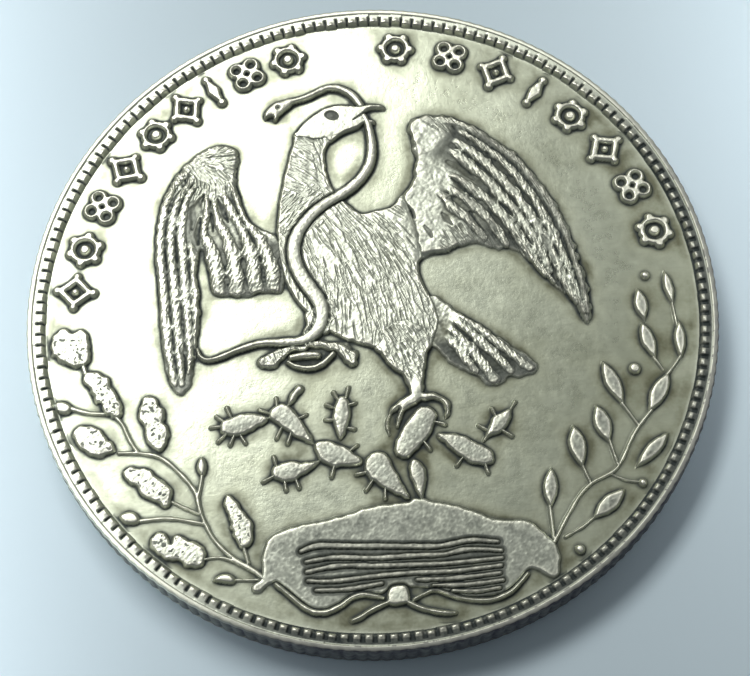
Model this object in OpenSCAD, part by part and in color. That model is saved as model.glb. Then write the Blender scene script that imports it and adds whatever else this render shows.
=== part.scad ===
// Struck silver-look medal coin with an eagle device, wreath, ornament border,
// toothed rims and a reeded edge. Millimetres, +Z is the front (device) side,
// +Y points to the top of the design, and z = 0 is the back rim's face.

/* [Flan] */
// Outside diameter over the reeds
coin_d = 39; // [30:0.5:50]
// Total thickness over both rims
coin_t = 2.6; // [2.2:0.1:3.4]
// Depth of each field below its rim
field_recess = 0.4; // [0.3:0.05:0.5]

/* [Edge] */
// Number of reeds around the edge
reed_count = 180; // [120:2:200]
// Depth of the reeds
reed_depth = 0.14; // [0.06:0.02:0.2]

/* [Toothed border] */
// Number of teeth inside each rim
tooth_count = 180; // [90:2:200]
// Radial length of a tooth
tooth_len = 0.52; // [0.3:0.02:0.8]
// Part of the pitch that a tooth fills
tooth_fill = 0.6; // [0.4:0.05:0.7]

/* [Relief heights] */
// Bird's body and wings
bird_h = 0.3; // [0.15:0.01:0.34]
// Extra height of feathers above the wings
feather_h = 0.07; // [0.02:0.01:0.1]
// Border ornaments
ornament_h = 0.3; // [0.1:0.01:0.36]
// Leaves, acorns and berries
leaf_h = 0.26; // [0.1:0.01:0.34]
// Stems
stem_h = 0.14; // [0.06:0.01:0.2]
// Cactus pads
pad_h = 0.3; // [0.1:0.01:0.34]
// Cactus spines
spine_h = 0.18; // [0.08:0.01:0.28]
// Mound
mound_h = 0.18; // [0.1:0.01:0.24]
// Water lines above the mound
wave_h = 0.08; // [0.02:0.01:0.1]

/* [Back] */
// Number of rays around the plain boss
ray_count = 48; // [24:2:72]
// Radius of the boss
boss_r = 4.5; // [3:0.5:6]

/* [Hidden] */

r_out = coin_d / 2;
r_core = r_out - 0.3;
r_rim_in = r_out - 0.36;
z_front = coin_t - field_recess;
z_back = field_recess;
rim_drop = 0.2;
round_n = 200;

// One span of a smooth curve from b to c, with neighbours a and d.
function span(a, b, c, d, t) =
    0.5 * (2 * b + (c - a) * t + (2 * a - 5 * b + 4 * c - d) * t * t
    + (3 * b - a - 3 * c + d) * t * t * t);

// Smooth closed outline through the points p.
function closed(p, n = 5) =
    let (m = len(p))
    [for (i = [0 : m - 1]) for (k = [0 : n - 1])
        span(p[(i + m - 1) % m], p[i], p[(i + 1) % m], p[(i + 2) % m], k / n)];

// Smooth open path through the points p, each [x, y, half width].
function open_path(p, n = 5) =
    let (m = len(p) - 1)
    concat([for (i = [0 : m - 1]) for (k = [0 : n - 1])
        span(p[max(i - 1, 0)], p[i], p[i + 1], p[min(i + 2, m)], k / n)], [p[m]]);

// Heading of path q at its point i, in degrees.
function heading(q, i) =
    let (a = q[max(i - 1, 0)], b = q[min(i + 1, len(q) - 1)])
    atan2(b[1] - a[1], b[0] - a[0]);

// The point at distance r and angle a from point p.
function off(p, r, a) = [p[0] + r * cos(a), p[1] + r * sin(a)];

// Outline of a band of changing width along p, with round ends.
function band(p, n = 5) =
    let (q = open_path(p, n), m = len(q) - 1)
    concat(
        [for (i = [0 : m]) off(q[i], q[i][2], heading(q, i) - 90)],
        [for (k = [1 : 4]) off(q[m], q[m][2], heading(q, m) - 90 + 36 * k)],
        [for (i = [m : -1 : 0]) off(q[i], q[i][2], heading(q, i) + 90)],
        [for (k = [1 : 4]) off(q[0], q[0][2], heading(q, 0) + 90 + 36 * k)]);

// Pointed leaf outline from tip a to base b, half width w.
function blade(a, b, w, n = 9) =
    let (d = b - a, t = atan2(d[1], d[0]))
    concat(
        [for (k = [0 : n - 1]) off(a + d * k / n, w * sin(180 * pow(k / n, 0.9)), t - 90)],
        [for (k = [n : -1 : 1]) off(a + d * k / n, w * sin(180 * pow(k / n, 0.9)), t + 90)]);

// Extrude the outline o by h from the front field.
module raise(o, h) {
    translate([0, 0, z_front])
        linear_extrude(height = h)
            polygon(o);
}

// Smooth shapes, bands and leaves raised together.
module shapes(list, h) {
    for (p = list)
        raise(closed(p), h);
}
module bands(list, h, n = 5) {
    for (p = list)
        raise(band(p, n), h);
}
module blades(list, h) {
    for (b = list)
        raise(blade([b[0], b[1]], [b[2], b[3]], b[4]), h);
}

// ---- flan, edge, rims and toothed borders ----

module planchet() {
    color([0.62, 0.64, 0.56])
        translate([0, 0, z_back])
            cylinder(r = r_core, h = z_front - z_back, $fn = round_n);
}

// Edge outline: one round-topped reed per pitch.
function reeds() =
    [for (i = [0 : reed_count - 1]) for (k = [0 : 5])
        let (a = 360 * (i + k / 6) / reed_count, s = abs(sin(180 * k / 6)))
        [(r_out - reed_depth * (1 - s)) * cos(a), (r_out - reed_depth * (1 - s)) * sin(a)]];

module reeded_edge() {
    color([0.5, 0.52, 0.5])
        difference() {
            translate([0, 0, rim_drop])
                linear_extrude(height = coin_t - 2 * rim_drop)
                    polygon(reeds());
            cylinder(r = r_core, h = coin_t, $fn = round_n);
        }
}

// Rim section at the front; the back one is its mirror image.
module rim() {
    rotate_extrude($fn = round_n)
        polygon([[r_rim_in, z_front], [r_core, z_front], [r_core, coin_t - rim_drop],
                 [r_out - 0.06, coin_t - rim_drop], [r_out - 0.06, coin_t - 0.07],
                 [r_out - 0.13, coin_t], [r_rim_in, coin_t]]);
}

module front_rim() {
    color([0.78, 0.8, 0.72])
        rim();
}

module back_rim() {
    color([0.78, 0.8, 0.72])
        translate([0, 0, coin_t])
            mirror([0, 0, 1])
                rim();
}

// Inside outline of the toothed border: each tooth is a bar with a round inner end.
function teeth() =
    let (pitch = 360 / tooth_count, half = pitch * tooth_fill / 2, cap = r_rim_in - tooth_len,
         bulge = (r_rim_in - 0.5) * sin(half))
    [for (i = [0 : tooth_count - 1]) for (p = [
        [r_rim_in - 0.04, -half], [cap + bulge, -half], [cap + bulge * 0.3, -half * 0.7],
        [cap, 0], [cap + bulge * 0.3, half * 0.7], [cap + bulge, half],
        [r_rim_in - 0.04, half]])
        [p[0] * cos(i * pitch + p[1]), p[0] * sin(i * pitch + p[1])]];

module tooth_ring() {
    difference() {
        translate([0, 0, z_front])
            cylinder(r = r_rim_in, h = field_recess - 0.06, $fn = round_n);
        translate([0, 0, z_front - 0.1])
            linear_extrude(height = field_recess + 0.2)
                polygon(teeth());
    }
}

module front_teeth() {
    color([0.85, 0.86, 0.78])
        tooth_ring();
}

module back_teeth() {
    color([0.85, 0.86, 0.78])
        translate([0, 0, coin_t])
            mirror([0, 0, 1])
                tooth_ring();
}

// ---- border ornaments ----

// Six petals around a button.
module rosette(s) {
    cylinder(r = 0.34 * s, h = ornament_h, $fn = 32);
    difference() {
        cylinder(r = 0.95 * s, h = ornament_h, $fn = 48);
        translate([0, 0, -1])
            cylinder(r = 0.56 * s, h = 3, $fn = 48);
    }
    for (a = [0 : 60 : 300])
        rotate([0, 0, a])
            translate([0.88 * s, 0, 0])
                cylinder(r = 0.3 * s, h = ornament_h, $fn = 24);
}

// Open lozenge with a button in the middle; w and l are its half sizes.
module lozenge(w, l) {
    b = 0.42;
    difference() {
        linear_extrude(height = ornament_h)
            polygon([[w, 0], [0, l], [-w, 0], [0, -l]]);
        translate([0, 0, -1])
            linear_extrude(height = 3)
                polygon([[w - b * 1.4, 0], [0, l - b * 1.5], [b * 1.4 - w, 0], [0, b * 1.5 - l]]);
    }
    if (w > 0.9)
        cylinder(r = 0.22, h = ornament_h, $fn = 24);
    for (v = [-1, 1])
        translate([0, v * (l - 0.12), 0])
            cylinder(r = 0.26, h = ornament_h, $fn = 24);
    for (v = [-1, 1])
        translate([v * (w - 0.12), 0, 0])
            cylinder(r = 0.24, h = ornament_h, $fn = 24);
}

// Four open rings that meet in the middle.
module quatrefoil(s) {
    difference() {
        for (a = [45 : 90 : 315])
            rotate([0, 0, a])
                translate([0.62 * s, 0, 0])
                    cylinder(r = 0.56 * s, h = ornament_h, $fn = 36);
        for (a = [45 : 90 : 315])
            rotate([0, 0, a])
                translate([0.68 * s, 0, -1])
                    cylinder(r = 0.2 * s, h = 3, $fn = 24);
    }
}

// Narrow lozenge with a bead at each end.
module spindle() {
    linear_extrude(height = ornament_h)
        polygon([[0.4, 0], [0.12, 0.9], [-0.12, 0.9], [-0.4, 0], [-0.12, -0.9], [0.12, -0.9]]);
    for (v = [-1, 1])
        translate([0, v * 0.9, 0])
            cylinder(r = 0.26, h = ornament_h, $fn = 24);
}

// kind: 0 rosette, 1 lozenge, 2 quatrefoil, 3 spindle.
module ornament(kind) {
    if (kind == 0)
        rosette(0.96);
    if (kind == 1)
        lozenge(1.05, 1.15);
    if (kind == 2)
        quatrefoil(0.98);
    if (kind == 3)
        spindle();
}

ornament_r = 16.85;
// Each [angle from +X, kind].
left_row = [[170.6, 1], [161.6, 0], [152.0, 2], [142.6, 1], [133.2, 0], [125.0, 1],
            [118.2, 3], [110.6, 2], [101.7, 0]];
right_row = [[79.6, 0], [68.4, 2], [58.4, 1], [49.4, 3], [40.6, 0], [30.6, 1],
             [21.0, 2], [10.6, 0]];

module ornament_row(row) {
    for (o = row)
        rotate([0, 0, o[0] - 90])
            translate([0, ornament_r, z_front])
                ornament(o[1]);
}

module ornaments_left() {
    color([0.9, 0.9, 0.8])
        ornament_row(left_row);
}

module ornaments_right() {
    color([0.9, 0.9, 0.8])
        ornament_row(right_row);
}

// ---- eagle ----

body_line = [[-3.3, 11.3], [-3.7, 10.6], [-4.0, 9.7], [-4.3, 8.7], [-4.6, 7.6], [-4.8, 6.6],
    [-4.95, 5.6], [-5.0, 4.6], [-4.95, 3.4], [-4.75, 2.3], [-4.4, 1.3], [-3.9, 0.4], [-3.2, -0.5],
    [-2.3, -1.3], [-1.2, -1.95], [-0.3, -2.3], [0.7, -2.6], [1.9, -2.7], [3.0, -2.4], [3.6, -1.6],
    [3.7, -0.6], [3.45, 0.3], [3.1, 1.1], [2.9, 2.0], [3.0, 3.0], [2.95, 4.2], [2.75, 5.4],
    [2.4, 6.5], [1.7, 6.2], [0.8, 6.05], [0.0, 5.98], [-0.6, 6.5], [-1.2, 7.2], [-1.55, 7.9],
    [-1.75, 8.7], [-1.8, 9.5], [-1.7, 10.3], [-1.4, 10.8], [-1.2, 11.15], [-2.2, 11.3]];

head_line = [[-3.2, 11.35], [-3.15, 11.8], [-2.8, 12.25], [-2.2, 12.65], [-1.6, 13.0],
    [-0.9, 13.15], [-0.2, 13.1], [0.5, 12.98], [1.0, 13.02], [1.6, 12.95], [1.95, 12.8],
    [2.0, 12.55], [1.7, 12.55], [1.2, 12.58], [0.8, 12.35], [0.95, 12.08], [1.3, 11.9],
    [1.33, 11.65], [1.05, 11.6], [0.7, 11.65], [0.3, 11.42], [-0.3, 11.25], [-0.9, 11.1],
    [-1.6, 10.95], [-2.5, 11.0]];

module eagle_body() {
    color([0.75, 0.76, 0.66])
        raise(closed(body_line), bird_h);
}

module eagle_head() {
    color([0.85, 0.85, 0.7])
        difference() {
            raise(closed(head_line), bird_h + 0.04);
            translate([-1.15, 12.4, z_front + bird_h - 0.06])
                difference() {
                    cylinder(r = 0.42, h = 1, $fn = 32);
                    cylinder(r = 0.2, h = 1, $fn = 24);
                }
        }
}

left_wing_line = [[-7.9, 11.3], [-7.3, 11.2], [-6.9, 10.85], [-6.75, 10.2], [-6.9, 9.4],
    [-7.05, 8.6], [-6.9, 7.6], [-6.65, 6.5], [-6.2, 5.9], [-5.5, 5.4], [-4.9, 4.95],
    [-4.75, 3.8], [-4.7, 2.6], [-4.95, 1.6], [-5.5, 1.55], [-6.3, 1.6], [-7.2, 1.45],
    [-7.9, 1.6], [-8.6, 1.75], [-9.0, 2.3], [-9.05, 3.4], [-9.25, 4.4], [-9.45, 4.55],
    [-9.6, 3.8], [-9.75, 2.8], [-9.65, 1.8], [-9.7, 0.6], [-9.9, -0.8], [-10.15, -2.0],
    [-10.35, -3.2], [-10.75, -3.95], [-11.2, -4.0], [-11.6, -3.3], [-11.85, -1.8],
    [-11.95, 0.2], [-11.9, 2.4], [-12.02, 4.3], [-11.85, 6.1], [-11.5, 7.7], [-11.0, 8.8],
    [-10.3, 9.8], [-9.5, 10.6], [-8.7, 11.1]];
// Feathers: [x, y, half width] along each shaft.
left_feathers = [
    [[-9.2, 10.4, 0.2], [-10.6, 8.6, 0.24], [-11.4, 6.0, 0.25], [-11.6, 3.0, 0.25], [-11.5, 0.0, 0.24],
     [-11.35, -2.4, 0.2], [-11.1, -3.6, 0.12]],
    [[-8.8, 9.7, 0.18], [-10.1, 8.0, 0.22], [-10.8, 5.6, 0.24], [-10.9, 3.0, 0.24], [-10.7, 0.4, 0.22],
     [-10.6, -2.0, 0.18], [-10.8, -3.3, 0.12]],
    [[-8.6, 9.0, 0.18], [-9.7, 7.6, 0.2], [-10.2, 5.6, 0.22], [-10.2, 3.4, 0.2], [-10.1, 1.2, 0.18],
     [-10.2, -0.8, 0.14]],
    [[-8.6, 8.4, 0.14], [-8.9, 6.8, 0.22], [-8.75, 5.0, 0.27], [-8.7, 3.4, 0.27], [-8.6, 2.1, 0.24]],
    [[-8.1, 8.3, 0.14], [-7.9, 6.6, 0.22], [-7.7, 5.0, 0.26], [-7.6, 3.2, 0.26], [-7.4, 1.9, 0.24]],
    [[-7.4, 7.9, 0.14], [-7.0, 6.2, 0.2], [-6.7, 4.8, 0.24], [-6.5, 3.2, 0.25], [-6.35, 1.95, 0.24]],
    [[-6.2, 5.6, 0.14], [-5.8, 4.4, 0.22], [-5.6, 3.0, 0.24], [-5.4, 1.95, 0.22]]];

module left_wing() {
    color([0.7, 0.72, 0.62]) {
        raise(closed(left_wing_line), bird_h);
        bands(left_feathers, bird_h + feather_h);
    }
}

right_wing_line = [[2.4, 6.7], [2.85, 7.3], [3.2, 8.2], [3.4, 9.2], [3.35, 10.2], [3.2, 11.0],
    [3.4, 11.6], [3.95, 11.92], [4.9, 11.9], [5.9, 11.6], [6.9, 11.05], [7.9, 10.2],
    [8.8, 9.4], [9.6, 8.5], [10.3, 7.4], [10.9, 6.2], [11.4, 4.9], [11.8, 3.5], [12.05, 2.0],
    [12.25, 0.5], [12.35, -0.8], [12.2, -1.9], [11.85, -2.1], [11.5, -1.4], [11.1, -0.5],
    [10.5, 0.25], [9.8, 1.1], [9.2, 1.95], [8.7, 2.7], [8.2, 2.8], [7.6, 2.95], [7.0, 3.1],
    [6.3, 3.45], [5.6, 3.4], [4.8, 3.02], [3.9, 2.95], [3.05, 3.0], [2.95, 4.2], [2.7, 5.5]];
right_feathers = [
    [[5.4, 11.3, 0.16], [7.6, 9.7, 0.2], [9.4, 7.8, 0.22], [10.6, 5.2, 0.24], [11.3, 2.6, 0.24],
     [11.75, 0.2, 0.22], [11.95, -1.4, 0.14]],
    [[5.0, 10.9, 0.16], [7.0, 9.1, 0.2], [8.9, 7.0, 0.22], [10.1, 4.6, 0.24], [10.9, 2.0, 0.22],
     [11.35, -0.2, 0.14]],
    [[4.8, 10.2, 0.16], [6.4, 8.5, 0.2], [8.2, 6.5, 0.22], [9.5, 4.2, 0.24], [10.3, 1.9, 0.2],
     [10.7, 0.4, 0.14]],
    [[5.2, 9.2, 0.16], [6.6, 7.6, 0.2], [7.9, 5.8, 0.22], [8.9, 4.0, 0.22], [9.7, 2.1, 0.16]],
    [[4.3, 9.0, 0.14], [5.4, 7.3, 0.2], [6.8, 5.6, 0.22], [7.8, 4.2, 0.22], [8.3, 3.2, 0.18]],
    [[4.0, 7.8, 0.14], [5.1, 6.3, 0.18], [6.2, 5.0, 0.2], [7.1, 3.7, 0.18]],
    [[3.7, 6.4, 0.14], [4.7, 5.2, 0.18], [5.6, 4.4, 0.18], [6.2, 3.85, 0.14]]];

module right_wing() {
    color([0.7, 0.72, 0.62]) {
        raise(closed(right_wing_line), bird_h);
        bands(right_feathers, bird_h + feather_h);
    }
}

tail_line = [[3.2, -2.4], [3.6, -3.1], [4.2, -3.8], [5.0, -4.4], [5.5, -4.7], [6.0, -5.2],
    [6.7, -5.25], [7.1, -4.9], [7.7, -4.95], [8.5, -4.8], [8.85, -4.45], [8.4, -3.8],
    [7.6, -3.1], [6.6, -2.2], [5.6, -1.3], [4.7, -0.5], [4.0, 0.05], [3.5, 0.3], [3.6, -0.6],
    [3.5, -1.6]];
tail_feathers = [
    [[3.9, -1.9, 0.2], [4.6, -3.0, 0.26], [5.4, -4.2, 0.22]],
    [[4.2, -1.4, 0.2], [5.2, -2.8, 0.28], [6.4, -4.7, 0.3]],
    [[4.3, -0.8, 0.2], [5.8, -2.4, 0.26], [7.4, -4.4, 0.26]],
    [[4.5, -0.6, 0.18], [6.2, -2.2, 0.24], [8.3, -4.4, 0.24]]];

module tail() {
    color([0.68, 0.7, 0.6]) {
        raise(closed(tail_line), bird_h - 0.06);
        bands(tail_feathers, bird_h - 0.06 + feather_h);
    }
}

// Legs and talons: [x, y, half width] along each limb.
perched_limbs = [
    [[1.6, -2.2, 1.45], [1.7, -3.1, 1.25], [1.95, -4.0, 0.72], [2.0, -4.8, 0.46], [1.98, -5.45, 0.4]],
    [[1.9, -5.5, 0.28], [1.15, -5.75, 0.24], [0.5, -6.2, 0.19], [0.15, -6.9, 0.15], [0.22, -7.5, 0.08]],
    [[1.9, -5.6, 0.26], [1.3, -6.0, 0.22], [0.9, -6.5, 0.18], [0.72, -7.1, 0.1]],
    [[2.1, -5.5, 0.28], [2.8, -5.55, 0.24], [3.4, -5.9, 0.2], [3.6, -6.4, 0.15], [3.4, -6.9, 0.08]]];
raised_limbs = [
    [[-2.6, 0.1, 0.9], [-3.2, -0.7, 0.62], [-3.8, -1.5, 0.42], [-4.1, -2.0, 0.36]],
    [[-4.0, -1.85, 0.26], [-4.8, -1.95, 0.26], [-5.4, -2.3, 0.38], [-5.9, -2.55, 0.5], [-6.3, -2.6, 0.36]],
    [[-4.0, -1.85, 0.26], [-3.0, -1.85, 0.24], [-2.0, -2.3, 0.3], [-1.5, -2.8, 0.46], [-1.35, -3.1, 0.34]]];

module perched_leg() {
    color([0.8, 0.8, 0.66])
        bands(perched_limbs, bird_h);
}

module raised_leg() {
    color([0.8, 0.8, 0.66])
        bands(raised_limbs, bird_h);
}

snake_head_line = [[-5.12, 12.95], [-4.95, 13.25], [-4.5, 13.6], [-3.9, 13.78], [-3.3, 13.85],
    [-3.4, 13.4], [-3.8, 13.1], [-4.2, 12.75], [-4.45, 12.42], [-4.62, 12.5], [-4.6, 12.72],
    [-4.85, 12.7], [-5.1, 12.62]];
snake_paths = [
    [[-3.6, 13.6, 0.2], [-2.5, 13.85, 0.2], [-1.5, 14.25, 0.2], [-0.8, 14.3, 0.22], [-0.1, 13.95, 0.24],
     [0.35, 13.45, 0.25], [0.6, 12.95, 0.26]],
    [[0.72, 12.2, 0.2], [0.92, 11.6, 0.23], [1.0, 10.8, 0.26], [0.98, 10.0, 0.28], [0.82, 9.2, 0.3],
     [0.42, 8.5, 0.3], [-0.2, 7.85, 0.31], [-1.2, 7.2, 0.32], [-2.3, 6.6, 0.34], [-3.2, 5.8, 0.36],
     [-3.85, 4.9, 0.4], [-4.1, 3.9, 0.42], [-3.95, 2.8, 0.44], [-3.5, 1.8, 0.44], [-3.0, 0.9, 0.44],
     [-2.8, 0.0, 0.42], [-3.1, -0.9, 0.38], [-3.9, -1.5, 0.32], [-5.0, -1.55, 0.26],
     [-6.3, -1.45, 0.22], [-7.6, -1.7, 0.18], [-8.7, -2.05, 0.16], [-9.4, -2.15, 0.14],
     [-9.8, -1.9, 0.12], [-9.95, -1.4, 0.08]],
    [[-4.95, -2.75, 0.14], [-4.4, -3.1, 0.16], [-3.6, -3.22, 0.18], [-3.0, -3.0, 0.18], [-2.4, -2.5, 0.16]],
    [[-4.75, -2.5, 0.2], [-4.0, -2.42, 0.22], [-3.25, -2.5, 0.2]]];

module snake() {
    color([0.9, 0.88, 0.7]) {
        raise(closed(snake_head_line), bird_h + 0.05);
        bands(snake_paths, bird_h + 0.05);
    }
}

// ---- cactus ----

pads = [
    [[-0.9, -8.5], [-0.4, -8.4], [0.0, -8.6], [0.25, -9.2], [0.6, -10.2], [0.95, -11.25], [0.3, -11.0],
     [-0.6, -10.4], [-1.15, -9.8], [-1.35, -9.1]],
    [[1.35, -9.0], [1.65, -9.1], [1.95, -9.6], [2.0, -10.3], [1.8, -10.9], [1.6, -11.4], [1.35, -10.9],
     [1.1, -10.1], [1.1, -9.4]],
    [[-3.9, -7.6], [-3.2, -7.5], [-2.4, -7.8], [-1.9, -8.2], [-1.4, -8.75], [-1.4, -9.1], [-2.0, -9.1],
     [-3.0, -9.05], [-3.6, -8.7], [-3.85, -8.2]],
    [[-6.2, -5.5], [-5.6, -5.1], [-5.1, -5.25], [-4.7, -5.8], [-4.3, -6.6], [-3.9, -7.6], [-4.4, -7.5],
     [-5.2, -6.9], [-5.9, -6.3], [-6.3, -5.9]],
    [[-6.4, -5.75], [-7.2, -5.5], [-8.1, -5.5], [-8.8, -5.8], [-9.0, -6.2], [-8.8, -6.6], [-8.1, -6.8],
     [-7.4, -6.6], [-6.4, -6.1]],
    [[-2.4, -5.1], [-1.95, -5.05], [-1.75, -5.6], [-1.85, -6.5], [-2.2, -7.2], [-2.5, -7.55],
     [-2.75, -6.8], [-2.75, -5.9]],
    [[-3.75, -8.6], [-4.6, -8.6], [-5.4, -8.45], [-6.1, -8.6], [-6.35, -8.9], [-6.3, -9.35],
     [-5.8, -9.65], [-5.2, -9.65], [-4.6, -9.3], [-3.9, -8.9]],
    [[2.8, -7.75], [3.5, -7.75], [4.2, -7.95], [5.0, -8.45], [5.6, -8.9], [5.85, -9.3], [5.7, -9.7],
     [5.1, -9.8], [4.3, -9.5], [3.6, -8.9], [3.1, -8.3]],
    [[5.3, -8.45], [5.6, -7.8], [6.0, -7.1], [6.5, -6.85], [7.15, -6.6], [7.0, -7.2], [6.7, -7.7],
     [6.2, -8.1], [5.7, -8.2]]];
pad_bands = [
    [[0.95, -8.45, 0.58], [1.6, -7.6, 0.78], [2.3, -6.7, 0.68]],
    [[-5.1, -5.2, 0.14], [-4.8, -4.75, 0.23], [-4.48, -4.38, 0.25]]];

module cactus_pads() {
    color([0.72, 0.78, 0.64]) {
        shapes(pads, pad_h);
        bands(pad_bands, pad_h);
    }
}

// Each [root x, root y, tip x, tip y].
spines = [
    [-8.7, -5.9, -9.15, -5.5], [-8.3, -5.7, -8.55, -5.05], [-8.9, -6.1, -9.5, -6.1],
    [-8.6, -6.5, -9.15, -6.95], [-8.2, -6.6, -8.5, -7.2], [-7.95, -6.6, -7.65, -7.2],
    [-5.75, -5.5, -5.8, -4.75], [-6.1, -5.7, -6.75, -5.35], [-4.7, -6.1, -4.2, -5.9],
    [-5.6, -6.5, -5.95, -7.1], [-5.1, -6.8, -5.35, -7.45], [-2.35, -5.3, -2.6, -4.75],
    [-2.0, -5.3, -1.75, -4.55], [-2.6, -5.7, -3.05, -5.45], [-2.6, -6.4, -3.2, -6.3],
    [-1.9, -5.6, -1.45, -5.5], [-2.0, -6.9, -1.65, -7.0], [-2.1, -8.3, -1.6, -7.95],
    [-2.9, -8.9, -3.15, -9.6], [-6.0, -8.9, -6.2, -8.1], [-6.2, -9.2, -6.85, -9.5],
    [-5.7, -9.4, -5.65, -10.1], [-5.1, -9.4, -4.95, -10.05], [-1.1, -9.5, -1.8, -9.6],
    [-0.9, -10.0, -1.35, -10.55], [-0.3, -10.5, -0.35, -11.1], [2.0, -8.0, 2.35, -8.6],
    [2.7, -7.0, 3.35, -7.25], [4.1, -9.2, 3.7, -9.65], [5.2, -9.5, 5.35, -10.25],
    [6.2, -7.2, 6.0, -6.6], [6.9, -6.9, 7.3, -6.35], [5.7, -7.9, 5.15, -7.5],
    [6.4, -7.9, 6.9, -8.3]];

module cactus_spines() {
    color([0.86, 0.86, 0.6])
        for (s = spines)
            raise(band([[s[0], s[1], 0.08], [s[2], s[3], 0.11]], 2), spine_h);
}

// ---- mound, water and ribbon ----

mound_line = [[-7.3, -14.6], [-7.25, -13.6], [-6.9, -12.8], [-6.3, -12.35], [-5.0, -12.05],
    [-4.0, -11.95], [-2.8, -11.8], [-1.6, -11.5], [-0.3, -11.38], [0.8, -11.4], [1.2, -11.2],
    [1.7, -11.3], [2.4, -11.58], [3.5, -11.85], [4.6, -12.4], [5.4, -12.8], [6.4, -12.95],
    [7.1, -13.1], [7.7, -13.6], [8.3, -14.3], [8.6, -14.9], [8.55, -15.7], [8.4, -16.25],
    [7.95, -16.3], [7.4, -15.9], [6.9, -15.75], [6.4, -16.3], [5.6, -16.85], [4.5, -17.05],
    [3.4, -16.95], [2.5, -16.6], [1.7, -16.35], [0.9, -16.15], [0.0, -16.05], [-0.8, -16.2],
    [-1.4, -16.4], [-2.2, -16.25], [-3.0, -16.6], [-3.7, -16.9], [-4.6, -16.85], [-5.1, -16.55],
    [-5.7, -15.95], [-6.4, -15.25], [-6.9, -15.15], [-7.4, -15.5], [-7.85, -15.5], [-7.85, -15.1]];
waves = [
    [[-5.1, -13.55, 0.13], [-4.2, -13.35, 0.15], [-2.4, -13.55, 0.14], [0.0, -13.8, 0.14],
     [2.2, -14.02, 0.13], [3.8, -13.88, 0.13], [5.4, -14.1, 0.1]],
    [[-4.9, -14.15, 0.1], [-3.4, -14.08, 0.13], [-1.2, -14.32, 0.13], [0.8, -14.4, 0.13],
     [2.4, -14.5, 0.12], [3.8, -14.35, 0.12], [5.5, -14.6, 0.1]],
    [[-4.9, -14.7, 0.1], [-3.2, -14.55, 0.13], [-1.2, -14.75, 0.13], [0.6, -14.88, 0.12],
     [2.6, -15.0, 0.12], [5.5, -15.0, 0.1]],
    [[-4.9, -15.2, 0.1], [-3.6, -15.35, 0.12], [-1.4, -15.3, 0.12], [0.6, -15.32, 0.12],
     [2.8, -15.45, 0.12], [5.4, -15.4, 0.1]],
    [[-4.5, -15.75, 0.1], [-2.8, -15.85, 0.12], [-1.0, -15.72, 0.1]],
    [[0.9, -15.72, 0.1], [3.0, -15.85, 0.12], [5.3, -15.8, 0.1]],
    [[1.7, -16.1, 0.09], [3.4, -16.25, 0.12], [5.4, -16.2, 0.1]],
    [[2.7, -16.5, 0.08], [4.0, -16.65, 0.11], [5.2, -16.58, 0.08]]];

module mound() {
    color([0.62, 0.66, 0.58])
        raise(closed(mound_line), mound_h);
}

module water_lines() {
    color([0.8, 0.82, 0.74])
        bands(waves, mound_h + wave_h);
}

ribbons = [
    [[-6.6, -15.2, 0.13], [-5.9, -15.9, 0.15], [-5.3, -16.5, 0.16], [-4.7, -16.9, 0.17],
     [-4.0, -16.95, 0.17], [-3.3, -16.7, 0.16], [-2.7, -16.35, 0.16], [-2.1, -16.22, 0.16],
     [-1.5, -16.35, 0.14], [-1.0, -16.5, 0.12]],
    [[0.6, -16.75, 0.1], [1.2, -16.5, 0.12], [1.8, -16.38, 0.13], [2.4, -16.65, 0.14],
     [3.2, -16.98, 0.15], [4.1, -17.15, 0.15], [4.9, -17.15, 0.15], [5.7, -16.88, 0.15],
     [6.3, -16.42, 0.13], [6.75, -15.98, 0.12]],
    [[-0.7, -16.75, 0.14], [-1.6, -17.05, 0.15], [-2.3, -17.4, 0.16], [-2.75, -17.55, 0.12]],
    [[0.3, -16.9, 0.14], [1.0, -17.28, 0.16], [1.9, -17.58, 0.16], [2.7, -17.68, 0.12]]];
knot_line = [[-0.55, -15.95], [0.25, -15.95], [0.42, -16.5], [0.3, -16.9], [-0.2, -17.0],
    [-0.75, -16.9], [-0.85, -16.5]];

module ribbon() {
    color([0.88, 0.86, 0.72]) {
        bands(ribbons, mound_h + wave_h);
        raise(closed(knot_line), mound_h + wave_h);
    }
}

// ---- oak branch, at the left of the design ----

oak_stem_paths = [
    [[-7.2, -14.85, 0.12], [-7.8, -14.25, 0.11], [-8.8, -13.5, 0.1], [-9.6, -12.6, 0.1],
     [-10.1, -11.6, 0.11], [-10.4, -10.6, 0.11], [-10.6, -9.6, 0.11], [-11.4, -8.45, 0.1],
     [-12.4, -7.5, 0.1], [-13.6, -7.15, 0.1], [-14.6, -7.05, 0.09]],
    [[-13.55, -7.15, 0.1], [-13.95, -6.4, 0.1], [-14.35, -5.4, 0.1], [-14.8, -4.8, 0.09]],
    [[-15.3, -4.7, 0.1], [-16.2, -4.55, 0.1], [-17.1, -4.2, 0.12]],
    [[-10.2, -11.5, 0.09], [-11.2, -11.2, 0.09], [-12.3, -10.98, 0.09], [-13.6, -10.98, 0.12]],
    [[-10.45, -10.0, 0.09], [-10.25, -9.3, 0.09], [-10.15, -8.8, 0.1]],
    [[-11.85, -10.1, 0.08], [-11.2, -10.5, 0.08], [-10.4, -10.95, 0.08]],
    [[-8.15, -13.0, 0.1], [-7.98, -13.9, 0.08]],
    [[-10.3, -13.45, 0.08], [-9.5, -13.42, 0.08], [-8.7, -13.75, 0.08], [-7.7, -14.4, 0.09]],
    [[-8.7, -14.75, 0.07], [-7.5, -14.85, 0.08]],
    [[-16.35, -1.8, 0.14], [-16.25, -2.2, 0.14]]];
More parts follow.
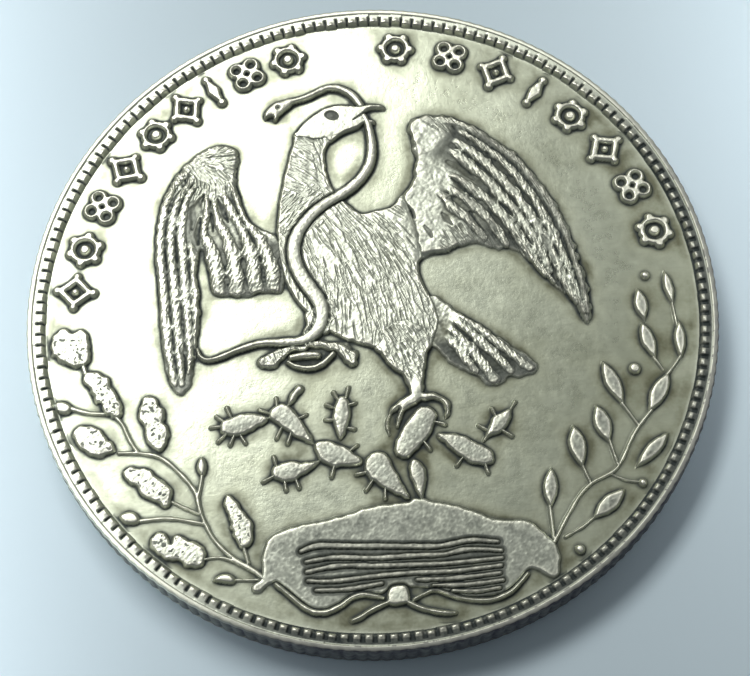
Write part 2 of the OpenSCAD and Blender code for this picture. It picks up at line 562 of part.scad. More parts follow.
oak_leaf_lines = [
    [[-13.2, -12.3], [-12.9, -11.85], [-12.4, -11.8], [-12.15, -12.1], [-12.05, -12.4], [-11.95, -12.05],
     [-11.6, -11.88], [-11.2, -12.2], [-10.6, -12.5], [-10.15, -13.0], [-10.2, -13.5], [-10.7, -13.85],
     [-11.3, -13.75], [-11.7, -13.45], [-12.1, -13.4], [-12.6, -13.1], [-13.0, -12.7]],
    [[-8.95, -10.0], [-8.5, -10.2], [-8.1, -10.7], [-7.75, -11.5], [-7.6, -12.3], [-7.8, -13.0],
     [-8.2, -13.1], [-8.6, -12.6], [-8.85, -11.8], [-9.0, -10.9]],
    [[-14.4, -8.3], [-14.1, -7.95], [-13.5, -7.95], [-13.0, -8.1], [-12.6, -8.6], [-12.1, -9.0],
     [-11.75, -9.6], [-11.9, -10.2], [-12.3, -10.3], [-12.9, -10.0], [-13.4, -9.6], [-13.7, -9.1],
     [-14.1, -8.9]],
    [[-13.1, -3.95], [-12.6, -4.05], [-12.2, -4.5], [-11.9, -5.0], [-11.95, -5.6], [-11.75, -6.2],
     [-11.9, -6.8], [-12.3, -7.15], [-12.7, -7.0], [-13.0, -6.5], [-13.2, -5.8], [-13.4, -5.2],
     [-13.25, -4.4]],
    [[-17.1, -5.6], [-16.7, -5.2], [-16.2, -5.25], [-15.6, -5.55], [-15.2, -6.0], [-14.85, -6.5],
     [-14.9, -6.95], [-15.5, -7.25], [-16.2, -7.05], [-16.7, -6.5], [-17.0, -6.0]],
    [[-16.3, -2.2], [-15.7, -2.1], [-15.1, -2.5], [-14.8, -3.2], [-14.5, -3.8], [-14.25, -4.4],
     [-14.4, -4.9], [-14.9, -4.95], [-15.4, -4.6], [-15.5, -4.1], [-15.85, -3.9], [-16.0, -3.3],
     [-16.35, -2.8]],
    [[-18.15, -0.8], [-17.65, -1.45], [-17.0, -1.75], [-16.4, -1.85], [-15.95, -1.35], [-15.85, -0.7],
     [-16.0, 0.0], [-16.4, 0.5], [-16.9, 0.3], [-17.3, 0.6], [-17.8, 0.4], [-18.15, -0.1]]];
acorn_lines = [
    [[-9.95, -14.7], [-9.5, -14.35], [-8.95, -14.4], [-8.7, -14.7], [-8.85, -14.95], [-9.3, -14.9]],
    [[-14.75, -10.65], [-14.35, -10.4], [-13.85, -10.5], [-13.6, -10.9], [-13.8, -11.15], [-14.4, -11.1]],
    [[-10.4, -8.5], [-10.35, -8.05], [-10.1, -7.7], [-9.88, -8.05], [-9.85, -8.5], [-10.1, -8.85]],
    [[-18.2, -3.95], [-17.85, -3.72], [-17.35, -3.82], [-17.05, -4.15], [-17.25, -4.5], [-17.75, -4.45]]];

module oak_stems() {
    color([0.8, 0.8, 0.62])
        bands(oak_stem_paths, stem_h);
}

module oak_leaves() {
    color([0.74, 0.78, 0.6])
        shapes(oak_leaf_lines, leaf_h);
}

module acorns() {
    color([0.85, 0.8, 0.6])
        shapes(acorn_lines, leaf_h);
}

// ---- laurel branch, at the right of the design ----

laurel_stem_paths = [
    [[8.4, -14.4, 0.1], [9.2, -13.2, 0.09], [10.1, -12.0, 0.09], [10.9, -11.35, 0.09],
     [12.1, -10.85, 0.09], [12.7, -10.2, 0.09], [13.3, -9.2, 0.09], [13.9, -8.4, 0.08],
     [14.7, -7.6, 0.1]],
    [[15.8, -5.7, 0.09], [16.3, -5.2, 0.08], [16.8, -4.6, 0.08]],
    [[8.42, -12.4, 0.09], [8.4, -14.2, 0.08]],
    [[10.48, -10.3, 0.08], [10.78, -11.35, 0.07]],
    [[12.15, -9.0, 0.08], [12.4, -10.5, 0.07]],
    [[13.15, -7.0, 0.08], [13.9, -8.45, 0.07]],
    [[10.75, -13.25, 0.07], [10.0, -13.75, 0.06], [9.0, -14.2, 0.07]],
    [[11.9, -10.95, 0.05], [12.7, -11.4, 0.06], [13.45, -11.6, 0.07]],
    [[15.3, -4.5, 0.07], [15.7, -5.3, 0.06]],
    [[16.9, -2.8, 0.07], [16.85, -1.4, 0.07]]];
// Each [tip x, tip y, base x, base y, half width].
laurel_blades = [
    [8.78, -10.3, 8.42, -12.6, 0.42], [10.3, -8.0, 10.48, -10.5, 0.5],
    [11.72, -7.0, 12.15, -9.25, 0.5], [12.45, -4.5, 13.25, -7.2, 0.46],
    [15.45, -8.95, 13.3, -10.8, 0.4], [12.6, -11.9, 10.55, -13.4, 0.46],
    [16.0, -5.5, 14.5, -7.75, 0.48], [16.72, 0.62, 16.88, -1.6, 0.3],
    [15.05, -0.3, 15.15, -2.4, 0.4], [14.95, -2.4, 15.4, -4.7, 0.42],
    [17.05, -2.5, 16.8, -4.85, 0.34]];
// Each [x, y, radius].
berry_list = [[14.15, -5.1, 0.34], [13.6, -11.65, 0.26], [9.7, -14.95, 0.28], [15.6, 0.4, 0.26]];

module laurel_stems() {
    color([0.8, 0.8, 0.62])
        bands(laurel_stem_paths, stem_h);
}

module laurel_leaves() {
    color([0.7, 0.76, 0.58])
        blades(laurel_blades, leaf_h);
}

module berries() {
    color([0.85, 0.8, 0.6])
        for (b = berry_list)
            translate([b[0], b[1], z_front])
                cylinder(r = b[2], h = leaf_h, $fn = 24);
}

// ---- plain radiate back ----

// Everything on the back hangs below the back field.
module back_boss() {
    color([0.75, 0.76, 0.66])
        translate([0, 0, z_back - 0.3]) {
            cylinder(r = boss_r, h = 0.3, $fn = 96);
            translate([0, 0, 0.1])
                cylinder(r = boss_r + 0.5, h = 0.2, $fn = 96);
        }
}

module back_rays() {
    color([0.82, 0.82, 0.74])
        for (i = [0 : ray_count - 1])
            rotate([0, 0, 360 * i / ray_count])
                translate([0, 0, z_back - 0.2])
                    linear_extrude(height = 0.2)
                        polygon([[boss_r + 0.8, 0.2], [14.6 - 2.2 * (i % 2), 0.03],
                                 [14.6 - 2.2 * (i % 2), -0.03], [boss_r + 0.8, -0.2]]);
}

module back_beads() {
    color([0.85, 0.86, 0.78])
        for (i = [0 : 5 : 355])
            rotate([0, 0, i])
                translate([16.7, 0, z_back - 0.24])
                    cylinder(r = 0.42, h = 0.24, $fn = 24);
}

planchet();
reeded_edge();
front_rim();
front_teeth();
back_rim();
back_teeth();
ornaments_left();
ornaments_right();
eagle_body();
eagle_head();
left_wing();
right_wing();
tail();
perched_leg();
raised_leg();
snake();
cactus_pads();
cactus_spines();
mound();
water_lines();
ribbon();
oak_stems();
oak_leaves();
acorns();
laurel_stems();
laurel_leaves();
berries();
back_boss();
back_rays();
back_beads();
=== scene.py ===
import math

import bpy
import numpy as np
from mathutils import Matrix, Vector
from mathutils.geometry import tessellate_polygon


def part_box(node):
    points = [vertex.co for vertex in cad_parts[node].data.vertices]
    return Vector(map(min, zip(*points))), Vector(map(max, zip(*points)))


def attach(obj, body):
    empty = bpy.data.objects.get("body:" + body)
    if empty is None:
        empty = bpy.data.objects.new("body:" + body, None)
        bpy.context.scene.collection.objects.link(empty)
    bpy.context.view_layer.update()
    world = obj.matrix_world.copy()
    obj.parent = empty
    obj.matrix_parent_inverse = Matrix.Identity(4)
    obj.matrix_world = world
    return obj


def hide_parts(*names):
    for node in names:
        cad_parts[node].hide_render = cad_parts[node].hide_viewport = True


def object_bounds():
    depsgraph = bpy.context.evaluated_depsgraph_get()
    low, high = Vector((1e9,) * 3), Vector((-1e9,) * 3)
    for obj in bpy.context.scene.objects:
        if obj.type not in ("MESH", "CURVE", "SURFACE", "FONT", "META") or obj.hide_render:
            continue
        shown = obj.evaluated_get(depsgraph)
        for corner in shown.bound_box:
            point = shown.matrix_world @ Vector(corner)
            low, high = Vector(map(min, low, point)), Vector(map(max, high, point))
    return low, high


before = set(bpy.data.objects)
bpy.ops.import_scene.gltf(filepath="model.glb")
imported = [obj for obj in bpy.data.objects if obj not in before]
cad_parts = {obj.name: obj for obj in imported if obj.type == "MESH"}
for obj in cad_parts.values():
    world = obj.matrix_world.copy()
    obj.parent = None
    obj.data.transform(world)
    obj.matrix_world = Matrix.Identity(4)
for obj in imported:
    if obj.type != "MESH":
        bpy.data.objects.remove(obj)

# Lengths below are in millimetres and become metres only where a mesh, lamp or camera is made.
MM = 0.001
CAD_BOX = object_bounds()
Z_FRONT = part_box("planchet")[1].z / MM
Z_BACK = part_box("planchet")[0].z / MM
Z_TOP = CAD_BOX[1].z / MM

# Counts round the coin, and the radii where the ring-shaped pieces start and end.
TEETH = 180
REEDS = 180
TEETH_IN, TEETH_OUT = 18.36, 19.16
FLAN_R = 19.22
# The relief pieces and the toothed borders reach this far under their field.
UNDER = 0.12

# ---- raster in plan: rows run along Y, columns along X ----

PITCH = 0.04
HALF = 19.6
COUNT = int(round(2 * HALF / PITCH)) + 1
AXIS = np.arange(COUNT) * PITCH - HALF
X, Y = np.meshgrid(AXIS, AXIS)
RAD = np.hypot(X, Y)
ANG = np.arctan2(Y, X)


def smooth(t):
    t = np.clip(t, 0.0, 1.0)
    return t * t * (3 - 2 * t)


def blur(a, sigma):
    """Gaussian blur of a raster; sigma in mm."""
    s = sigma / PITCH
    n = int(math.ceil(s * 2.6))
    k = np.exp(-0.5 * (np.arange(-n, n + 1) / s) ** 2)
    k /= k.sum()
    for axis in (0, 1):
        out = np.zeros_like(a)
        for w, shift in zip(k, range(-n, n + 1)):
            out += w * np.roll(a, shift, axis)
        a = out
    return a


def noise(sigma, seed):
    """Smooth random raster with spread 1."""
    r = np.random.default_rng(seed)
    n = blur(r.standard_normal((COUNT, COUNT)), sigma)
    return n / n.std()


GRAIN = noise(0.055, 11)
COARSE = noise(0.16, 12)
# Patina drawn on the front face, 0 to 1.
PAINT = np.zeros((COUNT, COUNT))


def cell(v):
    return (v + HALF) / PITCH


def foot_edges(node, z):
    """Plan outline of a CAD node where it meets the plane z: segments, n x 2 x 2."""
    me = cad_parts[node].data
    co = np.empty(len(me.vertices) * 3, np.float32)
    me.vertices.foreach_get("co", co)
    co = co.reshape(-1, 3).astype(float) / MM
    me.calc_loop_triangles()
    tri = np.empty(len(me.loop_triangles) * 3, np.int32)
    me.loop_triangles.foreach_get("vertices", tri)
    tri = tri.reshape(-1, 3)
    tri = tri[(np.abs(co[tri][:, :, 2] - z) < 0.004).all(1)]
    key = np.round(co[:, :2] * 1000).astype(np.int64)
    _, first, inv = np.unique(key[:, 0] * 1000003 + key[:, 1], return_index=True,
                              return_inverse=True)
    t = inv[tri]
    e = np.sort(np.concatenate([t[:, [0, 1]], t[:, [1, 2]], t[:, [2, 0]]]), axis=1)
    e = e[e[:, 0] != e[:, 1]]
    pairs, times = np.unique(e, axis=0, return_counts=True)
    return co[first][:, :2][pairs[times == 1]]


def signed(edges, reach):
    """Distance to an outline, positive inside it, exact up to reach."""
    dist = np.full((COUNT, COUNT), float(reach))
    cross = np.zeros((COUNT, COUNT), np.int32)
    for (ax, ay), (bx, by) in edges:
        j0 = max(int(cell(min(ax, bx) - reach)), 0)
        j1 = min(int(cell(max(ax, bx) + reach)) + 2, COUNT)
        i0 = max(int(cell(min(ay, by) - reach)), 0)
        i1 = min(int(cell(max(ay, by) + reach)) + 2, COUNT)
        px, py = AXIS[None, j0:j1] - ax, AXIS[i0:i1, None] - ay
        vx, vy = bx - ax, by - ay
        t = np.clip((px * vx + py * vy) / (vx * vx + vy * vy + 1e-12), 0, 1)
        d = np.hypot(px - t * vx, py - t * vy)
        np.minimum(dist[i0:i1, j0:j1], d, out=dist[i0:i1, j0:j1])
        if ay != by:
            r0, r1 = int(math.ceil(cell(min(ay, by)))), int(math.ceil(cell(max(ay, by))))
            rows = np.arange(r0, r1)
            xs = ax + (AXIS[rows] - ay) * vx / vy
            np.add.at(cross, (rows, np.ceil(cell(xs)).astype(int)), 1)
    inside = np.cumsum(cross, axis=1) % 2 == 1
    return np.where(inside, dist, -dist)


def spline(points, step=0.12):
    """Catmull-Rom samples through points; extra columns, such as a half width, ride along."""
    p = np.array(points, float)
    p = np.vstack([2 * p[0] - p[1], p, 2 * p[-1] - p[-2]])
    out = []
    for a, b, c, d in zip(p[:-3], p[1:-2], p[2:-1], p[3:]):
        n = max(2, int(math.hypot(*(c - b)[:2]) / step))
        for t in np.arange(n) / n:
            out.append(0.5 * (2 * b + (c - a) * t + (2 * a - 5 * b + 4 * c - d) * t * t
                              + (3 * b - a - 3 * c + d) * t ** 3))
    out.append(p[-2])
    return np.array(out)


def along(points, margin=0.1):
    """Window of the raster near a path, with u (side to side, -1 to 1 across the half width),
    s (length along it) and the local half width w."""
    q = spline(points)
    reach = q[:, 2].max() + margin
    j0, j1 = int(cell(q[:, 0].min() - reach)), int(cell(q[:, 0].max() + reach)) + 2
    i0, i1 = int(cell(q[:, 1].min() - reach)), int(cell(q[:, 1].max() + reach)) + 2
    best = np.full((i1 - i0, j1 - j0), 9.0)
    s, u, w = np.zeros_like(best), np.full_like(best, 9.0), np.full_like(best, 0.1)
    run = 0.0
    for (ax, ay, aw), (bx, by, bw) in zip(q[:-1], q[1:]):
        k0, k1 = int(cell(min(ax, bx) - reach)) - j0, int(cell(max(ax, bx) + reach)) + 2 - j0
        m0, m1 = int(cell(min(ay, by) - reach)) - i0, int(cell(max(ay, by) + reach)) + 2 - i0
        k0, m0 = max(k0, 0), max(m0, 0)
        px = AXIS[None, j0 + k0:j0 + k1][:, :best.shape[1] - k0] - ax
        py = AXIS[i0 + m0:i0 + m1, None][:best.shape[0] - m0] - ay
        vx, vy = bx - ax, by - ay
        length = math.hypot(vx, vy)
        t = np.clip((px * vx + py * vy) / (length * length + 1e-12), 0, 1)
        d = np.hypot(px - t * vx, py - t * vy)
        win = (slice(m0, m0 + d.shape[0]), slice(k0, k0 + d.shape[1]))
        near = d < best[win]
        half = aw + (bw - aw) * t
        best[win] = np.where(near, d, best[win])
        s[win] = np.where(near, run + t * length, s[win])
        w[win] = np.where(near, half, w[win])
        u[win] = np.where(near, np.sign(vx * py - vy * px) * d / half, u[win])
        run += length
    return (slice(i0, i1), slice(j0, j1)), u, s, w, run


def wall(d, h, w=0.22, out=0.06):
    """Rounded die wall: 0 outside, h inside, over the width w."""
    return h * smooth((d + out) / w)


def dome(d, radius):
    t = 1 - np.clip(d / radius, 0, 1)
    return np.sqrt(np.clip(1 - t * t, 0, 1))


def dashes(mask, number, length, width, angle, seed, curve=0.0):
    """Raster of short raised strokes scattered over a mask; angle(x, y) is in degrees."""
    r = np.random.default_rng(seed)
    rows, cols = np.nonzero(mask)
    out = np.zeros((COUNT, COUNT))
    for k in r.integers(0, len(rows), number):
        x, y = AXIS[cols[k]], AXIS[rows[k]]
        a = math.radians(angle(x, y) + r.normal(0, 7))
        half = length * r.uniform(0.3, 0.7)
        wide = width * r.uniform(0.7, 1.3)
        n = int((half + wide) / PITCH) + 2
        i, j = rows[k], cols[k]
        if min(i, j) <= n or max(i, j) >= COUNT - n:
            continue
        g = np.arange(-n, n + 1) * PITCH
        gx, gy = g[None, :], g[:, None]
        along_it = gx * math.cos(a) + gy * math.sin(a)
        across = gy * math.cos(a) - gx * math.sin(a) - curve * along_it ** 2
        p = np.clip(1 - (across / wide) ** 2, 0, 1) * np.clip(1 - (along_it / half) ** 4, 0, 1)
        win = (slice(i - n, i + n + 1), slice(j - n, j + n + 1))
        np.maximum(out[win], p * r.uniform(0.6, 1.0), out=out[win])
    return out


# ---- feathers: [x, y, half width] along each shaft ----

LEFT_LONG = [
    [[-9.6, 10.0, 0.16], [-11.0, 8.2, 0.24], [-11.6, 6.2, 0.3], [-11.72, 4.2, 0.33],
     [-11.66, 1.5, 0.33],
     [-11.6, -1.0, 0.28], [-11.35, -3.3, 0.2]],
    [[-9.3, 9.4, 0.14], [-10.5, 7.8, 0.22], [-11.0, 6.0, 0.28], [-11.08, 4.0, 0.3],
     [-11.03, 1.5, 0.3],
     [-10.95, -1.2, 0.24], [-10.9, -3.4, 0.18]],
    [[-9.1, 9.0, 0.14], [-9.95, 7.9, 0.18], [-10.4, 6.2, 0.26], [-10.45, 4.4, 0.28],
     [-10.4, 2.0, 0.28],
     [-10.35, -1.2, 0.2], [-10.5, -2.8, 0.14]],
    [[-10.05, 5.4, 0.12], [-9.86, 4.4, 0.22], [-9.85, 3.0, 0.24], [-9.86, 1.0, 0.24],
     [-9.9, -0.6, 0.2], [-10.0, -2.0, 0.1]],
]
LEFT_SHORT = [
    [[-8.9, 8.2, 0.12], [-8.85, 7.0, 0.17], [-9.15, 5.6, 0.22], [-8.8, 4.6, 0.38],
     [-8.6, 3.4, 0.45],
     [-8.55, 2.0, 0.42]],
    [[-8.45, 7.9, 0.12], [-8.3, 6.4, 0.22], [-7.85, 5.2, 0.32], [-7.55, 3.8, 0.46],
     [-7.5, 1.85, 0.46]],
    [[-8.0, 8.3, 0.14], [-7.35, 6.6, 0.26], [-6.8, 5.2, 0.3], [-6.5, 3.6, 0.45],
     [-6.42, 1.8, 0.44]],
    [[-7.4, 8.7, 0.14], [-6.75, 6.4, 0.2], [-5.95, 4.8, 0.3], [-5.5, 3.4, 0.42],
     [-5.38, 1.85, 0.42]],
]
LEFT_GAPS = [
    [[-11.45, 4.9, 0.05], [-11.38, 3.6, 0.14], [-11.3, 2.3, 0.05]],
    [[-10.8, 5.8, 0.05], [-10.78, 4.4, 0.15], [-10.72, 3.0, 0.05]],
    [[-8.2, 7.7, 0.05], [-7.95, 6.9, 0.15], [-7.7, 6.2, 0.05]],
    [[-8.65, 7.6, 0.05], [-8.6, 6.6, 0.13], [-8.6, 5.7, 0.05]],
    [[-10.9, -1.3, 0.05], [-10.65, -2.2, 0.12], [-10.75, -3.2, 0.05]],
]
LEFT_HOLLOW = [[[-9.0, 8.0, 0.1], [-9.5, 7.2, 0.28], [-9.8, 6.0, 0.14]],
               [[-9.3, 6.6, 0.08], [-9.45, 5.9, 0.2], [-9.5, 5.0, 0.1]]]
RIGHT_LONG = [
    [[5.9, 10.9, 0.16], [7.3, 9.7, 0.22], [8.6, 8.2, 0.24], [9.75, 6.3, 0.26], [10.5, 4.4, 0.27],
     [11.1, 2.4, 0.27], [11.55, 0.2, 0.24], [11.8, -1.5, 0.16]],
    [[11.4, 3.6, 0.1], [11.75, 1.6, 0.18], [12.0, -0.2, 0.18], [12.05, -1.6, 0.1]],
    [[5.5, 10.3, 0.2], [6.7, 9.25, 0.26], [7.9, 7.8, 0.3], [9.0, 6.1, 0.32], [9.8, 4.4, 0.32],
     [10.5, 2.4, 0.3], [11.1, 0.4, 0.26], [11.5, -0.9, 0.14]],
    [[5.2, 9.7, 0.18], [6.1, 8.9, 0.28], [7.1, 7.7, 0.32], [8.2, 6.1, 0.33], [9.0, 4.8, 0.3],
     [9.7, 3.2, 0.28], [10.3, 1.2, 0.2]],
    [[5.1, 8.0, 0.16], [6.1, 7.2, 0.26], [7.3, 6.0, 0.33], [8.2, 4.7, 0.36], [8.9, 3.4, 0.34],
     [9.7, 1.6, 0.26], [10.4, 0.5, 0.14]],
    [[5.0, 7.2, 0.14], [5.9, 6.3, 0.26], [6.9, 5.2, 0.3], [7.6, 4.1, 0.3], [8.0, 3.2, 0.22]],
    [[4.4, 7.0, 0.12], [5.1, 5.9, 0.26], [6.0, 4.9, 0.3], [6.8, 3.7, 0.22]],
]
RIGHT_GAPS = [
    [[5.3, 8.7, 0.1], [6.0, 8.2, 0.27], [6.7, 7.4, 0.1]],
    [[5.4, 7.55, 0.08], [5.75, 7.2, 0.24], [6.1, 6.7, 0.08]],
    [[6.2, 5.3, 0.08], [6.4, 4.8, 0.22], [6.7, 4.3, 0.08]],
    [[7.2, 4.7, 0.06], [7.4, 4.3, 0.18], [7.6, 3.8, 0.06]],
    [[4.6, 5.4, 0.06], [4.85, 5.0, 0.18], [5.1, 4.6, 0.06]],
    [[3.5, 4.7, 0.07], [3.7, 4.35, 0.16], [3.85, 4.0, 0.07]],
    [[2.7, 6.1, 0.07], [2.85, 5.7, 0.15], [3.0, 5.3, 0.07]],
    [[10.15, 3.4, 0.06], [10.35, 2.6, 0.16], [10.65, 1.6, 0.06]],
]
TAIL = [
    [[3.9, -1.9, 0.2], [4.6, -3.0, 0.28], [5.35, -4.3, 0.24]],
    [[4.1, -1.4, 0.2], [5.1, -2.8, 0.32], [6.3, -4.8, 0.34]],
    [[4.3, -0.9, 0.2], [5.7, -2.4, 0.3], [7.3, -4.5, 0.28]],
    [[4.5, -0.6, 0.18], [6.2, -2.2, 0.26], [8.35, -4.45, 0.24]],
]


def dent(height, paths, depth, stain=0.6):
    """Sinks spindle-shaped gaps into a height raster and stains them."""
    for path in paths:
        win, u = along(path)[:2]
        u = u * (1 + 0.2 * COARSE[win])
        height[win] -= depth * smooth(1.35 - np.abs(u))
        np.maximum(PAINT[win], stain * smooth(1.5 - np.abs(u)), out=PAINT[win])
    return height


def plume(height, paths, amount, twist, barb, seed, zone):
    """Adds ropey feathers to a height raster: flat-topped ridges cut by slanting barbs, with patina
    in the gaps of the given zone."""
    r = np.random.default_rng(seed)
    ridge = np.zeros((COUNT, COUNT))
    cuts = np.zeros((COUNT, COUNT))
    for path in paths:
        win, u, s, w, run = along(path)
        u = u * (1 + 0.16 * COARSE[win])
        lump = GRAIN[win] * 0.3 + COARSE[win] * 1.1
        wave = np.cos(2 * math.pi * (s + twist * u * w) / barb + r.uniform(0, 6) + lump)
        body = np.sqrt(np.clip(1 - u ** 4, 0, 1))
        nick = smooth((-wave - 0.25) / 0.6) * smooth((np.abs(u) - 0.15) / 0.5)
        rib = body * (1 - 0.4 * nick)
        fade = smooth(s / 0.8) * (0.6 + 0.4 * smooth((run - s) / 0.5))
        near = rib * fade > ridge[win]
        cuts[win] = np.where(near, nick * 0.75, cuts[win])
        np.maximum(ridge[win], rib * fade, out=ridge[win])
    gap = np.maximum(smooth((0.75 - ridge) / 0.5), cuts) * zone
    np.maximum(PAINT, gap, out=PAINT)
    return height + amount * ridge


# ---- heights above the field, one raster per relief node ----

SKIRT = 0.44
REACH = {"eagle_body": 2.6, "mound": 1.2, "left_wing": 1.2, "right_wing": 1.2, "tail": 0.9,
         "perched_leg": 1.3, "back_boss": 5.2}
FRONT = ["mound", "oak_stems", "oak_leaves", "acorns", "laurel_stems", "laurel_leaves",
         "berries", "ornaments_left", "ornaments_right", "cactus_spines", "cactus_pads",
         "tail", "left_wing", "right_wing", "eagle_body", "raised_leg", "perched_leg",
         "eagle_head", "snake", "water_lines", "ribbon"]
BACK = ["back_boss", "back_rays", "back_beads"]
D = {n: signed(foot_edges(n, Z_FRONT), REACH.get(n, 0.8)) for n in FRONT}
D.update({n: signed(foot_edges(n, Z_BACK), REACH.get(n, 0.8)) for n in BACK})
RAGGED = {"oak_leaves": 0.05, "left_wing": 0.03, "right_wing": 0.04, "tail": 0.04,
          "cactus_pads": 0.025, "mound": 0.025, "eagle_body": 0.02, "perched_leg": 0.03,
          "raised_leg": 0.03}
for n in FRONT:
    D[n] = D[n] + RAGGED.get(n, 0.01) * noise(0.13, 40) * np.exp(-(D[n] / 0.5) ** 2)
D["eagle_head"] += 0.07 * noise(0.1, 41) * np.exp(-(D["eagle_body"] / 0.3) ** 2)
E = dict(D)
for n, others in (("eagle_body", ("right_wing", "eagle_head")), ("eagle_head", ("eagle_body",)),
                  ("right_wing", ("eagle_body",)), ("tail", ("eagle_body",)),
                  ("perched_leg", ("eagle_body",)), ("raised_leg", ("eagle_body",))):
    # A wall stays up where the piece runs on into its neighbour.
    for other in others:
        E[n] = np.maximum(E[n], D[n] + 0.26 * np.exp(-(D[other] / 0.35) ** 2))
H = {}


def undercut(name, over, depth, width=0.14):
    """Sinks a lower piece beside and under the piece that crosses it, so that its outline reads."""
    H[name] = H[name] - depth * smooth((D[over] + width) / width)


def body_angle(x, y):
    if y > 7.6:
        return -38 if x < -2.4 else -72
    if y > 5.2 and x < -2.2:
        return 42
    return -58 - 5 * (5 - y) + 3 * x


for n in ("ornaments_left", "ornaments_right"):
    H[n] = wall(D[n] + 0.03, 0.3, 0.24) + 0.004 * GRAIN

d = D["eagle_body"]
H["eagle_body"] = wall(E["eagle_body"], 0.2, 0.2) + 0.1 * dome(d, 2.6)
long_cuts = dashes(d > 0.12, 560, 1.3, 0.048, body_angle, 21, 0.1)
short_cuts = dashes((d > 0.12) & (Y > 6.5), 170, 0.6, 0.055, body_angle, 27, 0.2)
H["eagle_body"] += 0.01 * COARSE * smooth(d / 0.3) + 0.004 * GRAIN
strokes = np.maximum(long_cuts, short_cuts) * smooth((d - 0.05) / 0.2)
H["eagle_body"] -= 0.055 * strokes
np.maximum(PAINT, 0.22 * strokes, out=PAINT)

d = D["eagle_head"]
H["eagle_head"] = wall(E["eagle_head"], 0.27, 0.24) + 0.06 * dome(d, 0.8) + 0.003 * GRAIN
eye = np.hypot((X + 1.15 + 0.3 * (Y - 12.4)) / 1.2, Y - 12.4)
H["eagle_head"] += -0.12 * smooth((0.36 - eye) / 0.12) + 0.07 * np.exp(-(eye / 0.16) ** 2)
np.maximum(PAINT, 0.75 * smooth((0.38 - eye) / 0.1), out=PAINT)
BEAK_LINE = [[[0.1, 12.0, 0.04], [0.7, 12.35, 0.07], [1.3, 12.45, 0.04]]]
H["eagle_head"] = dent(H["eagle_head"], BEAK_LINE, 0.08)

d = D["left_wing"]
H["left_wing"] = wall(d, 0.12, 0.2) + 0.04 * dome(d, 0.9)
top = smooth((Y - 7.2) / 1.2)
arcs = dashes((d > 0.1) & (Y > 6.5), 300, 1.1, 0.06,
              lambda x, y: 20 + 38 * (y - 11) + 14 * (x + 8), 22, 0.1)
H["left_wing"] += 0.13 * top * smooth(d / 0.25)
inside = smooth((d - 0.06) / 0.1)
split = smooth((X + 9.45 - 0.1 * (6 - Y)) / 0.1)
H["left_wing"] = plume(H["left_wing"], LEFT_LONG, 0.13, 1.6, 0.5, 31,
                       0.5 * inside * (1 - top) * (1 - split))
H["left_wing"] = plume(H["left_wing"], LEFT_SHORT, 0.16, 1.5, 0.42, 32,
                       0.65 * inside * split * smooth((5.2 - Y) / 0.8))
H["left_wing"] = dent(H["left_wing"] - 0.08 * arcs * top, LEFT_GAPS, 0.07, 0.5)
H["left_wing"] = dent(H["left_wing"], LEFT_HOLLOW, 0.1, 0.12)
H["left_wing"] += 0.008 * GRAIN

d = D["right_wing"]
H["right_wing"] = wall(E["right_wing"], 0.11, 0.2) + 0.04 * dome(d, 0.9)
shoulder = (smooth((5.2 - np.hypot(X - 2.6, Y - 5.6)) / 2.2)
            + smooth((1.9 - np.hypot(X - 4.1, Y - 10.9)) / 0.8)
            + smooth((0.62 - d) / 0.25) * smooth((np.hypot(X - 3, Y - 1) - 8.3) / 0.8))
hatch = dashes((d > 0.1) & (X > 4.5) & (d < 1.0), 460, 0.8, 0.05,
               lambda x, y: -58 - 5 * (x - 6), 28)
H["right_wing"] += 0.15 * np.clip(shoulder, 0, 1) * smooth(d / 0.25)
H["right_wing"] = plume(H["right_wing"], RIGHT_LONG, 0.17, 1.9, 0.62, 33,
                        0.8 * smooth((d - 0.06) / 0.1) * (1 - np.clip(shoulder, 0, 1)))
band = (smooth((0.85 - d) / 0.4) * smooth((np.hypot(X - 3, Y - 1) - 8.2) / 0.8)
        * smooth((X - 6) / 1.5))
np.maximum(PAINT, (0.42 + 0.1 * COARSE) * band * smooth((d - 0.06) / 0.1), out=PAINT)
H["right_wing"] = dent(H["right_wing"] - 0.07 * hatch, RIGHT_GAPS, 0.06, 0.5)
H["right_wing"] += 0.01 * COARSE + 0.005 * GRAIN
np.maximum(PAINT, np.clip(0.15 + 0.07 * GRAIN, 0, 0.6) * smooth((d - 0.12) / 0.2), out=PAINT)

d = D["tail"]
H["tail"] = plume(wall(E["tail"], 0.12, 0.2), TAIL, 0.15, 1.6, 0.45, 34,
                  0.8 * smooth((d - 0.06) / 0.1) * smooth((-1.9 - Y) / 0.8)) + 0.008 * GRAIN

for n in ("perched_leg", "raised_leg"):
    d = D[n]
    H[n] = wall(E[n], 0.24, 0.24) + 0.09 * dome(d, 0.7) + 0.012 * COARSE
    scale = dashes(d > 0.14, 130, 0.6, 0.055, lambda x, y: -68, 24)
    H[n] += -0.06 * scale * smooth((d - 0.05) / 0.2) * smooth((Y + 4.8) / 0.5) + 0.004 * GRAIN

d = D["snake"]
H["snake"] = wall(d, 0.22, 0.16) + 0.15 * dome(d, 0.4) + 0.004 * GRAIN
H["snake"] -= 0.12 * np.exp(-(np.hypot(X + 4.25, Y - 13.28) / 0.13) ** 2)

d = D["cactus_pads"]
specks = smooth((GRAIN - 1.1) / 0.7)
H["cactus_pads"] = (wall(d, 0.2, 0.22) + 0.11 * dome(d, 0.75) + 0.006 * GRAIN
                    - 0.015 * specks * smooth(d / 0.2))
np.maximum(PAINT, np.clip(0.26 + 0.06 * GRAIN, 0, 0.7) * smooth((d - 0.12) / 0.2), out=PAINT)
H["cactus_spines"] = wall(D["cactus_spines"], 0.27, 0.2)

